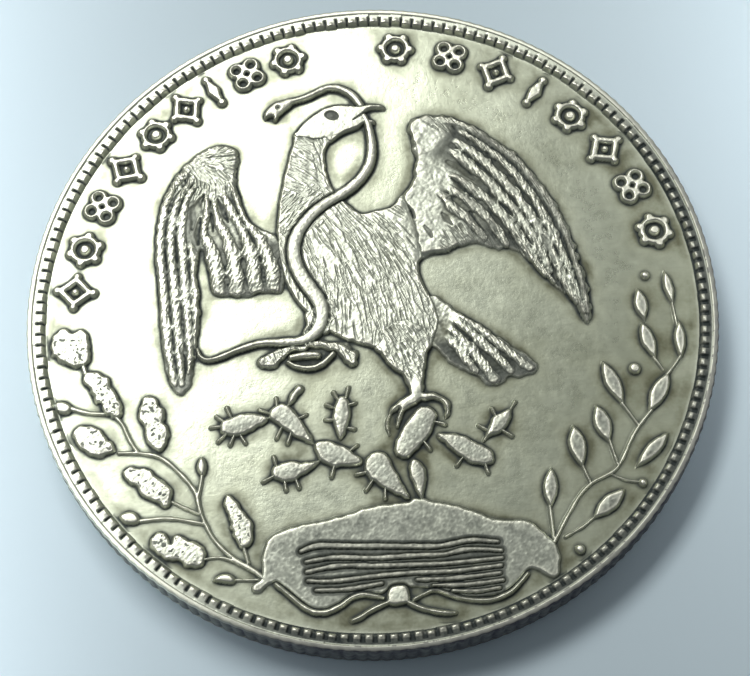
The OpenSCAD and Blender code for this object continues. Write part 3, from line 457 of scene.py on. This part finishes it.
d = D["mound"]
H["mound"] = (wall(d, 0.14, 0.2) + 0.03 * dome(d, 1.0) + 0.004 * GRAIN
              - 0.008 * specks * smooth(d / 0.2))
frost = np.clip(0.43 + 0.075 * GRAIN + 0.035 * COARSE, 0, 0.85)
np.maximum(PAINT, frost * smooth((d - 0.12) / 0.2), out=PAINT)
d = D["water_lines"]
np.maximum(PAINT, 0.8 * smooth((d + 0.28) / 0.1) * smooth((-0.04 - d) / 0.06), out=PAINT)
H["water_lines"] = wall(D["water_lines"] + 0.07, 0.24, 0.2) + 0.004 * GRAIN
H["ribbon"] = wall(D["ribbon"], 0.26, 0.2) + 0.04 * dome(D["ribbon"], 0.5) + 0.003 * GRAIN

for n in ("oak_stems", "laurel_stems"):
    H[n] = wall(D[n], 0.16, 0.14)

d = D["oak_leaves"]
H["oak_leaves"] = wall(d, 0.22, 0.22) + 0.07 * dome(d, 0.6) + 0.006 * GRAIN
pits = smooth((GRAIN - 0.9) / 0.5) * smooth((d - 0.08) / 0.15)
H["oak_leaves"] -= 0.02 * pits
np.maximum(PAINT, 0.75 * pits, out=PAINT)
d = D["acorns"]
H["acorns"] = wall(d, 0.2, 0.22) + 0.1 * dome(d, 0.35)
d = D["laurel_leaves"]
H["laurel_leaves"] = wall(d, 0.21, 0.2) + 0.05 * dome(d, 0.6) + 0.004 * GRAIN
np.maximum(PAINT, np.clip(0.42 + 0.1 * GRAIN, 0, 0.7) * smooth((d - 0.16) / 0.16), out=PAINT)
d = D["berries"]
H["berries"] = wall(d, 0.16, 0.2) + 0.13 * dome(d, 0.3)

for lower, over, depth in (("eagle_body", "snake", 0.12), ("raised_leg", "snake", 0.08),
                           ("mound", "water_lines", 0.1), ("mound", "ribbon", 0.08),
                           ("cactus_pads", "perched_leg", 0.1)):
    undercut(lower, over, depth)
for n in FRONT:
    H[n] = np.maximum(H[n], 0.012) * smooth((E[n] + 0.07) / 0.09)

H["back_boss"] = wall(D["back_boss"], 0.2, 0.3) + 0.1 * dome(D["back_boss"] - 0.5, 4.5)
H["back_boss"] -= 0.08 * np.exp(-((D["back_boss"] - 0.5) / 0.12) ** 2)
H["back_rays"] = wall(D["back_rays"], 0.2, 0.18)
H["back_beads"] = wall(D["back_beads"], 0.16, 0.2) + 0.12 * dome(D["back_beads"], 0.42)

# ---- toothed border, as a function of radius and angle ----

TOOTH_JIT = np.random.default_rng(5).normal(0, 1, (3, TEETH))


def shade_side(a):
    """Share of painted shade on the border, rims and edge by angle: the lower right is the shaded
    side.
    """
    return smooth((np.cos(a + 0.75) + 0.1) / 0.6)


def teeth_height(r, a, seed=0):
    """Height of the tooth ring: bars with a bead at the inner end, a little uneven."""
    t = a / (2 * math.pi) * TEETH
    k = np.floor(t + 0.5).astype(int) % TEETH
    j = np.roll(TOOTH_JIT, seed * 37, axis=1)
    v = (t - np.floor(t + 0.5)) * 2 * math.pi / TEETH * r + 0.012 * j[0][k]
    inner = 18.74 + 0.03 * j[1][k]
    tall = 0.31 + 0.012 * j[2][k]
    bead = 0.05 * np.exp(-((r - inner + 0.1) ** 2 + v ** 2) / 0.13 ** 2)
    wide = 0.322 - 0.06 * shade_side(a)
    bar = np.maximum(smooth((wide - np.abs(v)) / 0.1), smooth((r - 18.86) / 0.1))
    return (0.17 + (tall + bead - 0.17) * bar) * smooth((r - inner + 0.35) / 0.21)


# Distance from tooth to tooth at the beads, in mm.
TOOTH_PITCH = 0.655


def rim_height(r):
    return 0.39 * smooth((r - 18.98) / 0.15)


# ---- cavity patina, grime halos and wear from the finished height of each face, with painted shade on the lower right of the toothed border ----


def surface(names):
    total = np.zeros((COUNT, COUNT))
    for n in names:
        np.maximum(total, H[n] * smooth((D[n] + SKIRT) / 0.1), out=total)
    border = (RAD > 18.3) & (RAD < HALF)
    total[border] = np.maximum(teeth_height(RAD, ANG), rim_height(RAD))[border]
    return total


def shades(total, paint):
    fine, mid = blur(total, 0.075), blur(total, 0.17)
    border = smooth((RAD - 18.3) / 0.1)
    line = 0.85 * np.clip((fine - total - 0.004) / 0.05, 0, 1)
    foot = np.clip((mid - total - 0.01) / 0.06, 0, 1)
    pitch = ANG / (2 * math.pi) * TEETH
    off = np.abs(pitch - np.floor(pitch + 0.5)) * TOOTH_PITCH
    # Dark gaps between the teeth are patina; on the lower right they are widened, and the tooth
    # tops and inner ledge darkened, as painted shade.
    painted_shade = shade_side(ANG)
    gap = 0.9 * smooth((off - 0.225 + 0.085 * painted_shade) / 0.06)
    gap *= smooth((RAD - 18.38) / (0.15 - 0.08 * painted_shade)) * smooth((18.93 + 0.06 * painted_shade - RAD) / 0.08)
    crease = np.maximum(np.maximum(line, foot), paint)
    # Grime halos around the relief, weaker near the border and stronger towards the lower right.
    share = 0.55 + 0.6 * smooth((0.8 * X - 0.6 * Y + 10) / 20)
    share = share * (1 - 0.75 * smooth((RAD - 18.0) / 0.5))
    # Painted shade on the tooth tops and the inner ledge, on the lower right only.
    top = 0.9 * painted_shade * smooth((RAD - 18.69) / 0.07) * smooth((19.07 - RAD) / 0.05)
    ledge = 0.8 * painted_shade * smooth((RAD - 18.36) / 0.05) * smooth((18.57 - RAD) / 0.06)
    top = np.maximum(top, ledge)
    return {"patina_and_shade": crease * (1 - 0.7 * border) + np.maximum(gap, top) * border,
            "wear": np.clip((total - mid) / 0.06, 0, 1),
            "grime_and_shade": np.clip((blur(total, 0.5) - total) / 0.06, 0, 1) * share,
            "up": smooth(total / 0.06)}


def sample(a, x, y):
    """Bilinear read of a raster at points in mm."""
    cx, cy = np.clip(cell(x), 0, COUNT - 1.001), np.clip(cell(y), 0, COUNT - 1.001)
    j, i = cx.astype(int), cy.astype(int)
    fx, fy = cx - j, cy - i
    return ((a[i, j] * (1 - fx) + a[i, j + 1] * fx) * (1 - fy)
            + (a[i + 1, j] * (1 - fx) + a[i + 1, j + 1] * fx) * fy)


def swell(x, y):
    """Slow unevenness of the fields."""
    return (0.006 * np.sin(x * 0.55 + 0.8) * np.cos(y * 0.47 - 0.3)
            + 0.004 * np.sin(x * 0.9 - y * 0.7))


SWELL = swell(X, Y)
FACE = {"front": surface(FRONT), "back": surface(BACK)}
SHADE = {side: shades(total, PAINT * (side == "front")) for side, total in FACE.items()}

# ---- meshes ----


def make(name, verts, polys, side):
    """Mesh object from points in mm and lists of equal-length polygons."""
    me = bpy.data.meshes.new(name)
    me.vertices.add(len(verts))
    me.vertices.foreach_set("co", (np.asarray(verts) * MM).astype(np.float32).ravel())
    loops = np.concatenate([p.ravel() for p in polys])
    totals = np.concatenate([np.full(len(p), p.shape[1]) for p in polys])
    me.loops.add(len(loops))
    me.loops.foreach_set("vertex_index", loops.astype(np.int32))
    me.polygons.add(len(totals))
    starts = np.concatenate([[0], np.cumsum(totals)[:-1]])
    me.polygons.foreach_set("loop_start", starts.astype(np.int32))
    me.polygons.foreach_set("use_smooth", np.full(len(totals), True))
    me.update(calc_edges=True)
    me.validate()
    for key, a in SHADE[side].items():
        layer = me.attributes.new(key, "FLOAT", "POINT")
        layer.data.foreach_set("value", sample(a, verts[:, 0], verts[:, 1]).astype(np.float32))
    ob = bpy.data.objects.new(name, me)
    bpy.context.scene.collection.objects.link(ob)
    return ob


def paint(ob, key, values):
    ob.data.attributes[key].data.foreach_set("value", np.asarray(values, np.float32).ravel())


def loops_of(starts, ends):
    """Closed chains of directed edges."""
    following = dict(zip(starts.tolist(), ends.tolist()))
    chains = []
    while following:
        first, at = following.popitem()
        chain = [first]
        while at != first:
            chain.append(at)
            at = following.pop(at)
        chains.append(chain)
    return chains


def relief_piece(name, side):
    """Closed solid of one relief region: its height raster, a skirt that sinks under the field,
    side walls and a flat underside."""
    d, h = D[name], np.maximum(H[name], 0)
    keep = d > -SKIRT
    c = keep[:-1, :-1] & keep[1:, :-1] & keep[:-1, 1:] & keep[1:, 1:]
    for _ in range(3):
        touch = c[:-1, :-1] & c[1:, 1:] & ~c[1:, :-1] & ~c[:-1, 1:]
        c[:-1, :-1] &= ~touch
        touch = c[1:, :-1] & c[:-1, 1:] & ~c[:-1, :-1] & ~c[1:, 1:]
        c[1:, :-1] &= ~touch
    used = np.zeros_like(keep)
    for di in (0, 1):
        for dj in (0, 1):
            used[di:COUNT - 1 + di, dj:COUNT - 1 + dj] |= c
    index = np.full(keep.shape, -1)
    index[used] = np.arange(used.sum())
    lift = 0.002 + 0.0006 * (FRONT + BACK).index(name)
    rise = h * smooth((d + SKIRT) / 0.1)
    slope_y, slope_x = np.gradient(rise + SWELL, PITCH)
    x, y = X[used], Y[used]
    z = (SWELL + rise + lift - (lift + 0.01) * smooth((0.12 - d - SKIRT) / 0.12))[used]
    i, j = np.nonzero(c)
    quads = np.stack([index[i, j], index[i, j + 1], index[i + 1, j + 1], index[i + 1, j]], 1)
    pad = np.pad(c, 1)
    below, above = ~pad[:-2, 1:-1] & c, ~pad[2:, 1:-1] & c
    left, right = ~pad[1:-1, :-2] & c, ~pad[1:-1, 2:] & c
    parts = []
    for m, (a, b) in ((below, ((0, 0), (0, 1))), (right, ((0, 1), (1, 1))),
                      (above, ((1, 1), (1, 0))), (left, ((1, 0), (0, 0)))):
        mi, mj = np.nonzero(m)
        parts.append(np.stack([index[mi + a[0], mj + a[1]], index[mi + b[0], mj + b[1]]], 1))
    edge = np.concatenate(parts)
    rim = np.unique(edge)
    lower = np.full(len(x), -1)
    lower[rim] = len(x) + np.arange(len(rim))
    a, b = edge[:, 0], edge[:, 1]
    walls = np.stack([b, a, lower[a], lower[b]], 1)
    chains = loops_of(a, b)
    flat = [v for chain in chains for v in chain]
    tris = tessellate_polygon([[Vector((x[v], y[v], 0)) for v in chain] for chain in chains])
    tris = lower[np.array(flat)[np.array(tris)]]
    px, py = np.concatenate([x, x[rim]]), np.concatenate([y, y[rim]])
    area = ((px[tris[:, 1]] - px[tris[:, 0]]) * (py[tris[:, 2]] - py[tris[:, 0]])
            - (px[tris[:, 2]] - px[tris[:, 0]]) * (py[tris[:, 1]] - py[tris[:, 0]]))
    tris = tris[np.abs(area) > 1e-9]
    tris = np.where((area[np.abs(area) > 1e-9] > 0)[:, None], tris[:, ::-1], tris)
    z = np.concatenate([z, np.full(len(rim), -UNDER)])
    up = 1 if side == "front" else -1
    normals = np.stack([-slope_x[used], -slope_y[used], np.full(len(x), up)], 1)
    normals = np.concatenate([normals, np.tile([0, 0, -up], (len(rim), 1))])
    normals /= np.linalg.norm(normals, axis=1)[:, None]
    polys = [quads, walls, tris]
    if side == "front":
        z = np.minimum(Z_FRONT + z, Z_TOP - 0.004)
    else:
        z = np.maximum(Z_BACK - z, 0.004)
        polys = [p[:, ::-1] for p in polys]
    ob = make(name + "_skin", np.stack([px, py, z], 1), polys, side)
    ob.data.normals_split_custom_set_from_vertices(normals.tolist())
    return ob


def ring(name, r, z, side):
    """Closed ring from r and z tables: rows go round, columns go round the section."""
    n, m = r.shape
    a = np.arange(n) * 2 * math.pi / n
    verts = np.stack([r * np.cos(a)[:, None], r * np.sin(a)[:, None], z], -1).reshape(-1, 3)
    i, j = np.meshgrid(np.arange(n), np.arange(m), indexing="ij")
    i2, j2 = (i + 1) % n, (j + 1) % m
    quads = np.stack([i * m + j, i * m + j2, i2 * m + j2, i2 * m + j], -1).reshape(-1, 4)
    return make(name, verts, [quads], side)


PIECES = {}
for n in FRONT:
    PIECES[n] = relief_piece(n, "front")
for n in BACK:
    PIECES[n] = relief_piece(n, "back")

# Toothed borders: a polar height field closed by a hidden underside.
steps = TEETH * 16
radii = np.linspace(TEETH_IN, TEETH_OUT, 24)
angle = np.arange(steps) * 2 * math.pi / steps
rr, aa = np.meshgrid(radii, angle)
for side, node in (("front", "front_teeth"), ("back", "back_teeth")):
    up = teeth_height(rr, aa, side == "back") + swell(rr * np.cos(aa), rr * np.sin(aa)) + 0.001
    rise_a, rise_r = np.gradient(up, angle[1], radii[1] - radii[0])
    rise_a /= rr
    lean = np.stack([-rise_r * np.cos(aa) + rise_a * np.sin(aa),
                     -rise_r * np.sin(aa) - rise_a * np.cos(aa),
                     np.full(rr.shape, 1 if side == "front" else -1)], -1)
    up[:, 0] = -0.01
    ends = [np.full((steps, 1), v) for v in (TEETH_OUT, TEETH_IN)]
    section_r = np.hstack([rr, *ends])
    low = np.full((steps, 2), -UNDER)
    h = np.hstack([up, low])
    z = Z_FRONT + h if side == "front" else Z_BACK - h
    flat = np.tile([0.0, 0.0, -1.0 if side == "front" else 1.0], (steps, 2, 1))
    lean = np.concatenate([lean / np.linalg.norm(lean, axis=-1)[..., None], flat], 1)
    if side == "back":
        section_r, z, lean = section_r[:, ::-1], z[:, ::-1], lean[:, ::-1]
    PIECES[node] = ring(node + "_skin", section_r, z, side)
    PIECES[node].data.normals_split_custom_set_from_vertices(lean.reshape(-1, 3).tolist())

# Rims: rounded top, worn a little unevenly, with a soft inner wall.
steps = 2160
angle = np.arange(steps) * 2 * math.pi / steps
waves = ((3, 0.4), (7, 1.9), (17, 4.1), (41, 2.2), (83, 0.7))
uneven = sum(np.sin(angle * k + p) / k for k, p in waves)
patches = np.random.default_rng(9).random(steps)
patches = sum(np.roll(patches, k) for k in range(-3, 4)) / 7
patches = smooth((patches - 0.56) / 0.08)
section = np.array([[18.92, -0.1], [18.94, -0.02], [18.99, 0.02], [19.03, 0.12], [19.065, 0.25],
                    [19.1, 0.335], [19.14, 0.378], [19.2, 0.392], [19.29, 0.394], [19.37, 0.385],
                    [19.415, 0.355], [19.443, 0.29], [19.455, 0.2], [19.4, 0.1], [19.2, 0.08],
                    [19.05, -0.1]])
for side, node in (("front", "front_rim"), ("back", "back_rim")):
    out_r, rise = section[None, :, 0], section[None, :, 1]
    r = out_r + 0.012 * uneven[:, None] * (rise > 0.05) * (out_r < 19.3)
    nick = 0.5 + 0.5 * np.cos(angle * REEDS + 0.8)
    r -= 0.03 * nick[:, None] * (out_r > 19.36)
    h = rise + np.minimum(0.012 * uneven[:, None] - 0.008, 0) * (rise > 0.3)
    z = Z_FRONT + h if side == "front" else Z_BACK - h
    if side == "back":
        r, z = r[:, ::-1], z[:, ::-1]
    PIECES[node] = ring(node + "_skin", r, z, side)
    # Painted shade on the lower right of the rims: a dark outer bevel and top, and dark patches
    # that break the bright line of the inner shoulder.
    painted_shade = np.where(r > 19.38, 0.95, np.where(r > 19.19, 0.6, 0.6 * patches[:, None]))
    painted_shade = shade_side(angle)[:, None] * painted_shade
    paint(PIECES[node], "patina_and_shade", painted_shade)

# Reeded edge: round-topped reeds that die away under the rims.
steps = REEDS * 10
angle = np.arange(steps) * 2 * math.pi / steps
reed = np.abs(np.sin(angle * REEDS / 2 + 0.4)) ** 0.8
levels = np.array([0.2, 0.2, 0.24, 0.3, 0.4, 0.7, 1.1, 1.5, 1.9, 2.2, 2.3, 2.36, 2.4, 2.4])
deep = np.array([0, 0.1, 0.55, 0.85, 1, 1, 1, 1, 1, 1, 0.85, 0.55, 0.1, 0])
r = np.full((steps, len(levels)), 19.2)
r[:, 1:-1] = 19.36 + 0.13 * (reed[:, None] * deep[None, 1:-1]) - 0.03 * (1 - deep[None, 1:-1])
z = np.tile(levels, (steps, 1))
PIECES["reeded_edge"] = ring("reeded_edge_skin", r[:, ::-1], z[:, ::-1], "front")
# Dark patina over the whole edge, which also stands in for the edge's shade; reed crests are left
# lighter, much less so on the lower right, which is painted in shade.
edge_patina_and_shade = 0.95 - (0.5 - 0.4 * shade_side(angle))[:, None] * reed[:, None] * deep[None, :]
paint(PIECES["reeded_edge"], "patina_and_shade", edge_patina_and_shade[:, ::-1])
# A uniform grime halo over the whole edge, which also darkens it as painted shade.
paint(PIECES["reeded_edge"], "grime_and_shade", np.full(r.shape, 0.6))
paint(PIECES["reeded_edge"], "wear", np.zeros(r.shape))

# Flan: both fields, slightly uneven, on one closed disc.
n_ring, n_turn = 76, 480
turn = np.arange(n_turn) * 2 * math.pi / n_turn
rows = []
for side in (1, -1):
    for r in np.linspace(0.25, FLAN_R, n_ring)[:: side]:
        x, y = r * np.cos(turn), r * np.sin(turn)
        level = Z_FRONT + swell(x, y) if side > 0 else Z_BACK - swell(x, y)
        rows.append(np.stack([x, y, level], 1))
centres = [[0, 0, Z_FRONT + swell(0.0, 0.0)], [0, 0, Z_BACK - swell(0.0, 0.0)]]
verts = np.concatenate(rows + [centres])
i, j = np.meshgrid(np.arange(2 * n_ring - 1), np.arange(n_turn), indexing="ij")
j2 = (j + 1) % n_turn
quads = np.stack([i * n_turn + j, (i + 1) * n_turn + j, (i + 1) * n_turn + j2, i * n_turn + j2], -1)
quads = quads.reshape(-1, 4)
k = np.arange(n_turn)
k2 = (k + 1) % n_turn
top_cap = np.stack([np.full(n_turn, len(verts) - 2), k, k2], 1)
last = (2 * n_ring - 1) * n_turn
end_cap = np.stack([np.full(n_turn, len(verts) - 1), last + k2, last + k], 1)
PIECES["planchet"] = make("planchet_skin", verts, [quads, top_cap, end_cap], "front")
flan = PIECES["planchet"].data
for key in SHADE["front"]:
    values = np.zeros(len(verts), np.float32)
    flan.attributes[key].data.foreach_get("value", values)
    back = sample(SHADE["back"][key], verts[:, 0], verts[:, 1])
    values = np.where(verts[:, 2] < Z_TOP / 2, back, values)
    if key in ("patina_and_shade", "wear"):
        values[:] = 0
    flan.attributes[key].data.foreach_set("value", values.astype(np.float32))

# ---- materials ----


def silver(name, stain):
    """Antiqued silver: mottled fields, brighter relief, dark patina in cavities, painted shade on
    the lower right of the border, rims and edge, and rubbed high points. The mesh attributes for
    cavity patina and shade, grime and shade, wear and relief height say where each lies."""
    m = bpy.data.materials.new(name)
    m.use_nodes = True
    nt = m.node_tree
    nodes, link = nt.nodes, nt.links.new
    p = nodes["Principled BSDF"]

    def put(socket, value):
        if hasattr(value, "links"):
            link(value, socket)
        else:
            socket.default_value = (*value, 1) if socket.type == "RGBA" else value

    def node(kind, outlet, inputs=(), **settings):
        n = nodes.new(kind)
        for k, v in settings.items():
            setattr(n, k, v)
        for k, v in inputs:
            put(n.inputs[k], v)
        return n.outputs[outlet]

    def calc(op, a, b, clamp=False):
        return node("ShaderNodeMath", 0, ((0, a), (1, b)), operation=op, use_clamp=clamp)

    def mix(fac, a, b):
        return node("ShaderNodeMix", 2, ((0, fac), (6, a), (7, b)), data_type="RGBA")

    def clouds(scale, detail, rough=0.6, vector=None):
        return node("ShaderNodeTexNoise", "Fac", (("Vector", vector or place), ("Scale", scale),
                                                  ("Detail", detail), ("Roughness", rough)))

    def attribute(key):
        return node("ShaderNodeAttribute", "Fac", attribute_name=key)

    place = node("ShaderNodeTexCoord", "Object")
    streak_place = node("ShaderNodeMapping", 0, (("Vector", place), ("Rotation", (0.0, 0.0, 0.6)),
                                                 ("Scale", (1.0, 7.0, 1.0))))
    big, mid = clouds(90.0, 3.0), clouds(420.0, 4.0, 0.65)
    small, speck = clouds(1600.0, 4.0, 0.65), clouds(5200.0, 3.0)
    streak = clouds(900.0, 3.0, 0.6, streak_place)
    patina_and_shade, grime_and_shade, wear, up = (attribute(k) for k in ("patina_and_shade", "grime_and_shade", "wear", "up"))

    def contrast(a, centre, gain):
        return calc("MULTIPLY", calc("SUBTRACT", a, centre), gain, True)

    blotch = calc("MULTIPLY", contrast(mid, 0.45, 3.5), 0.6)
    blotch = calc("ADD", contrast(big, 0.46, 3.0), blotch, True)
    field = mix(calc("MULTIPLY", blotch, 0.55), FIELD_CLEAN, FIELD_WORN)
    field = mix(calc("MULTIPLY", contrast(streak, 0.5, 4.0), 0.18), field, FIELD_WORN)
    relief = mix(calc("MULTIPLY", contrast(mid, 0.45, 3.0), 0.4), RELIEF_CLEAN, FIELD_CLEAN)
    metal = mix(up, field, relief)
    metal = mix(calc("MULTIPLY", wear, 0.75), metal, BRIGHT)
    halo = calc("ADD", calc("MULTIPLY", contrast(mid, 0.36, 3.2), 0.75), 0.3)
    halo = calc("MULTIPLY", grime_and_shade, halo, True)
    metal = mix(calc("MULTIPLY", halo, 0.85), metal, OLIVE)
    # dark: patina in cavities together with the painted shade of the border, rims and edge, mixed
    # towards the stain colour.
    dark = calc("MULTIPLY", patina_and_shade, calc("ADD", calc("MULTIPLY", small, 0.7), 0.62), True)
    link(mix(dark, metal, stain), p.inputs["Base Color"])
    # Patina and painted shade both make the metal less metallic.
    patina = calc("MAXIMUM", dark, calc("MULTIPLY", halo, 0.85))
    link(calc("SUBTRACT", 1.0, calc("MULTIPLY", patina, 0.92)), p.inputs["Metallic"])
    p.inputs["Specular IOR Level"].default_value = 0.2
    rough = calc("ADD", calc("MULTIPLY", calc("MAXIMUM", dark, halo), 0.25), 0.26)
    rough = calc("ADD", rough, calc("MULTIPLY", contrast(small, 0.35, 2.0), 0.1))
    rough = calc("ADD", rough, calc("MULTIPLY", up, 0.16))
    link(rough, p.inputs["Roughness"])
    bump = node("ShaderNodeBump", 0, (("Strength", 0.5), ("Distance", 0.000008), ("Height", speck)))
    bump = node("ShaderNodeBump", 0, (("Strength", 0.6), ("Distance", 0.00002), ("Height", small),
                                      ("Normal", bump)))
    link(bump, p.inputs["Normal"])
    return m


# Stain colours for the patina and for the painted shade of the border, rims and edge.
STAIN_AND_SHADE = (0.05, 0.062, 0.06)
EDGE_STAIN_AND_SHADE = (0.062, 0.06, 0.085)
OLIVE = (0.125, 0.125, 0.066)
FIELD_CLEAN = (0.69, 0.74, 0.59)
FIELD_WORN = (0.38, 0.405, 0.285)
RELIEF_CLEAN = (0.76, 0.8, 0.68)
BRIGHT = (0.95, 0.945, 0.8)
FIELD = silver("antique_silver_field", STAIN_AND_SHADE)
RELIEF = silver("antique_silver_relief", STAIN_AND_SHADE)
EDGE = silver("antique_silver_edge", EDGE_STAIN_AND_SHADE)

LOOKS = {"planchet": (FIELD, "silver_field"), "reeded_edge": (EDGE, "silver_edge"),
         "front_rim": (EDGE, "silver_edge"), "back_rim": (EDGE, "silver_edge")}
for node, ob in PIECES.items():
    material, slot = LOOKS.get(node, (RELIEF, "silver_relief"))
    ob.data.materials.append(material)
    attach(ob, "root")
    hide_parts(node)

# ---- floor, light and camera ----

FLOOR_HALF = 0.6
FLOOR_COLOUR = (0.76, 0.91, 0.99, 1)
# The floor lies a hair under the coin's lowest plane.
FLOOR_DROP = 0.00002
corners = [(-FLOOR_HALF, -FLOOR_HALF, 0), (FLOOR_HALF, -FLOOR_HALF, 0),
           (FLOOR_HALF, FLOOR_HALF, 0), (-FLOOR_HALF, FLOOR_HALF, 0)]
floor_me = bpy.data.meshes.new("floor")
floor_me.from_pydata(corners, [], [(0, 1, 2, 3)])
floor = bpy.data.objects.new("floor", floor_me)
bpy.context.scene.collection.objects.link(floor)
fm = bpy.data.materials.new("floor_paper")
fm.use_nodes = True
shader = fm.node_tree.nodes["Principled BSDF"]
shader.inputs["Base Color"].default_value = FLOOR_COLOUR
shader.inputs["Roughness"].default_value = 0.9
shader.inputs["Specular IOR Level"].default_value = 0.1
floor_me.materials.append(fm)
floor.location.z = -FLOOR_DROP

world = bpy.data.worlds.new("studio")
world.use_nodes = True
sky = world.node_tree.nodes["Background"]
sky.inputs["Color"].default_value = (0.86, 0.93, 1.0, 1)
sky.inputs["Strength"].default_value = 0.11
bpy.context.scene.world = world


def softbox(name, place, wide, high, radiance, tint, slant=0.0, grid=180):
    """Rectangular lamp facing the coin; slant turns its long side in plan, in degrees. With a grid,
    which narrows the beam to that many degrees, it faces straight down."""
    light = bpy.data.lights.new(name, "AREA")
    light.shape = "RECTANGLE"
    light.size, light.size_y = wide * MM, high * MM
    light.energy = radiance * math.pi * wide * high * MM * MM
    light.color = tint
    light.spread = math.radians(grid)
    ob = bpy.data.objects.new(name, light)
    ob.location = Vector(place) * MM
    back = Vector(place).normalized() if grid == 180 else Vector((0, 0, 1))
    across = Vector((math.cos(math.radians(slant)), math.sin(math.radians(slant)), 0))
    across = (across - back * across.dot(back)).normalized()
    ob.rotation_mode = "QUATERNION"
    ob.rotation_quaternion = Matrix((across, back.cross(across), back)).transposed().to_quaternion()
    bpy.context.scene.collection.objects.link(ob)


# The two gridded lamps brighten the floor beside the coin and leave the relief's contrast alone.
softbox("key", (-46, 91, 157), 112, 54, 9.4, (1.0, 0.99, 0.96), 50)
softbox("left_grid", (-47, -2, 40), 30, 84, 1.9, (0.96, 0.98, 1.0), 0, 90)
softbox("right_grid", (48, 12, 40), 26, 42, 1.9, (0.98, 0.99, 1.0), 0, 90)
softbox("fill", (62, 30, 150), 120, 150, 0.17, (1.0, 0.99, 0.92))

# Camera fitted to the photo's view: its place, the point at its centre and its right side.
CAM_PLACE, CAM_AIM = Vector((-2.0, -36.3, 91.0)), Vector((0.0, -1.9, 2.6))
CAM_RIGHT = Vector((0.9950, -0.0987, -0.0150))
cam_data = bpy.data.cameras.new("camera")
cam_data.lens, cam_data.sensor_width = 81.6, 36
cam_data.clip_start, cam_data.clip_end = 0.005, 5
cam = bpy.data.objects.new("camera", cam_data)
bpy.context.scene.collection.objects.link(cam)
cam.location = CAM_PLACE * MM
look = (CAM_AIM - CAM_PLACE).normalized()
side = (CAM_RIGHT - look * CAM_RIGHT.dot(look)).normalized()
up = side.cross(look)
cam.rotation_mode = "QUATERNION"
cam.rotation_quaternion = Matrix((side, up, -look)).transposed().to_quaternion()
bpy.context.scene.camera = cam
bpy.context.scene.view_settings.view_transform = "Standard"
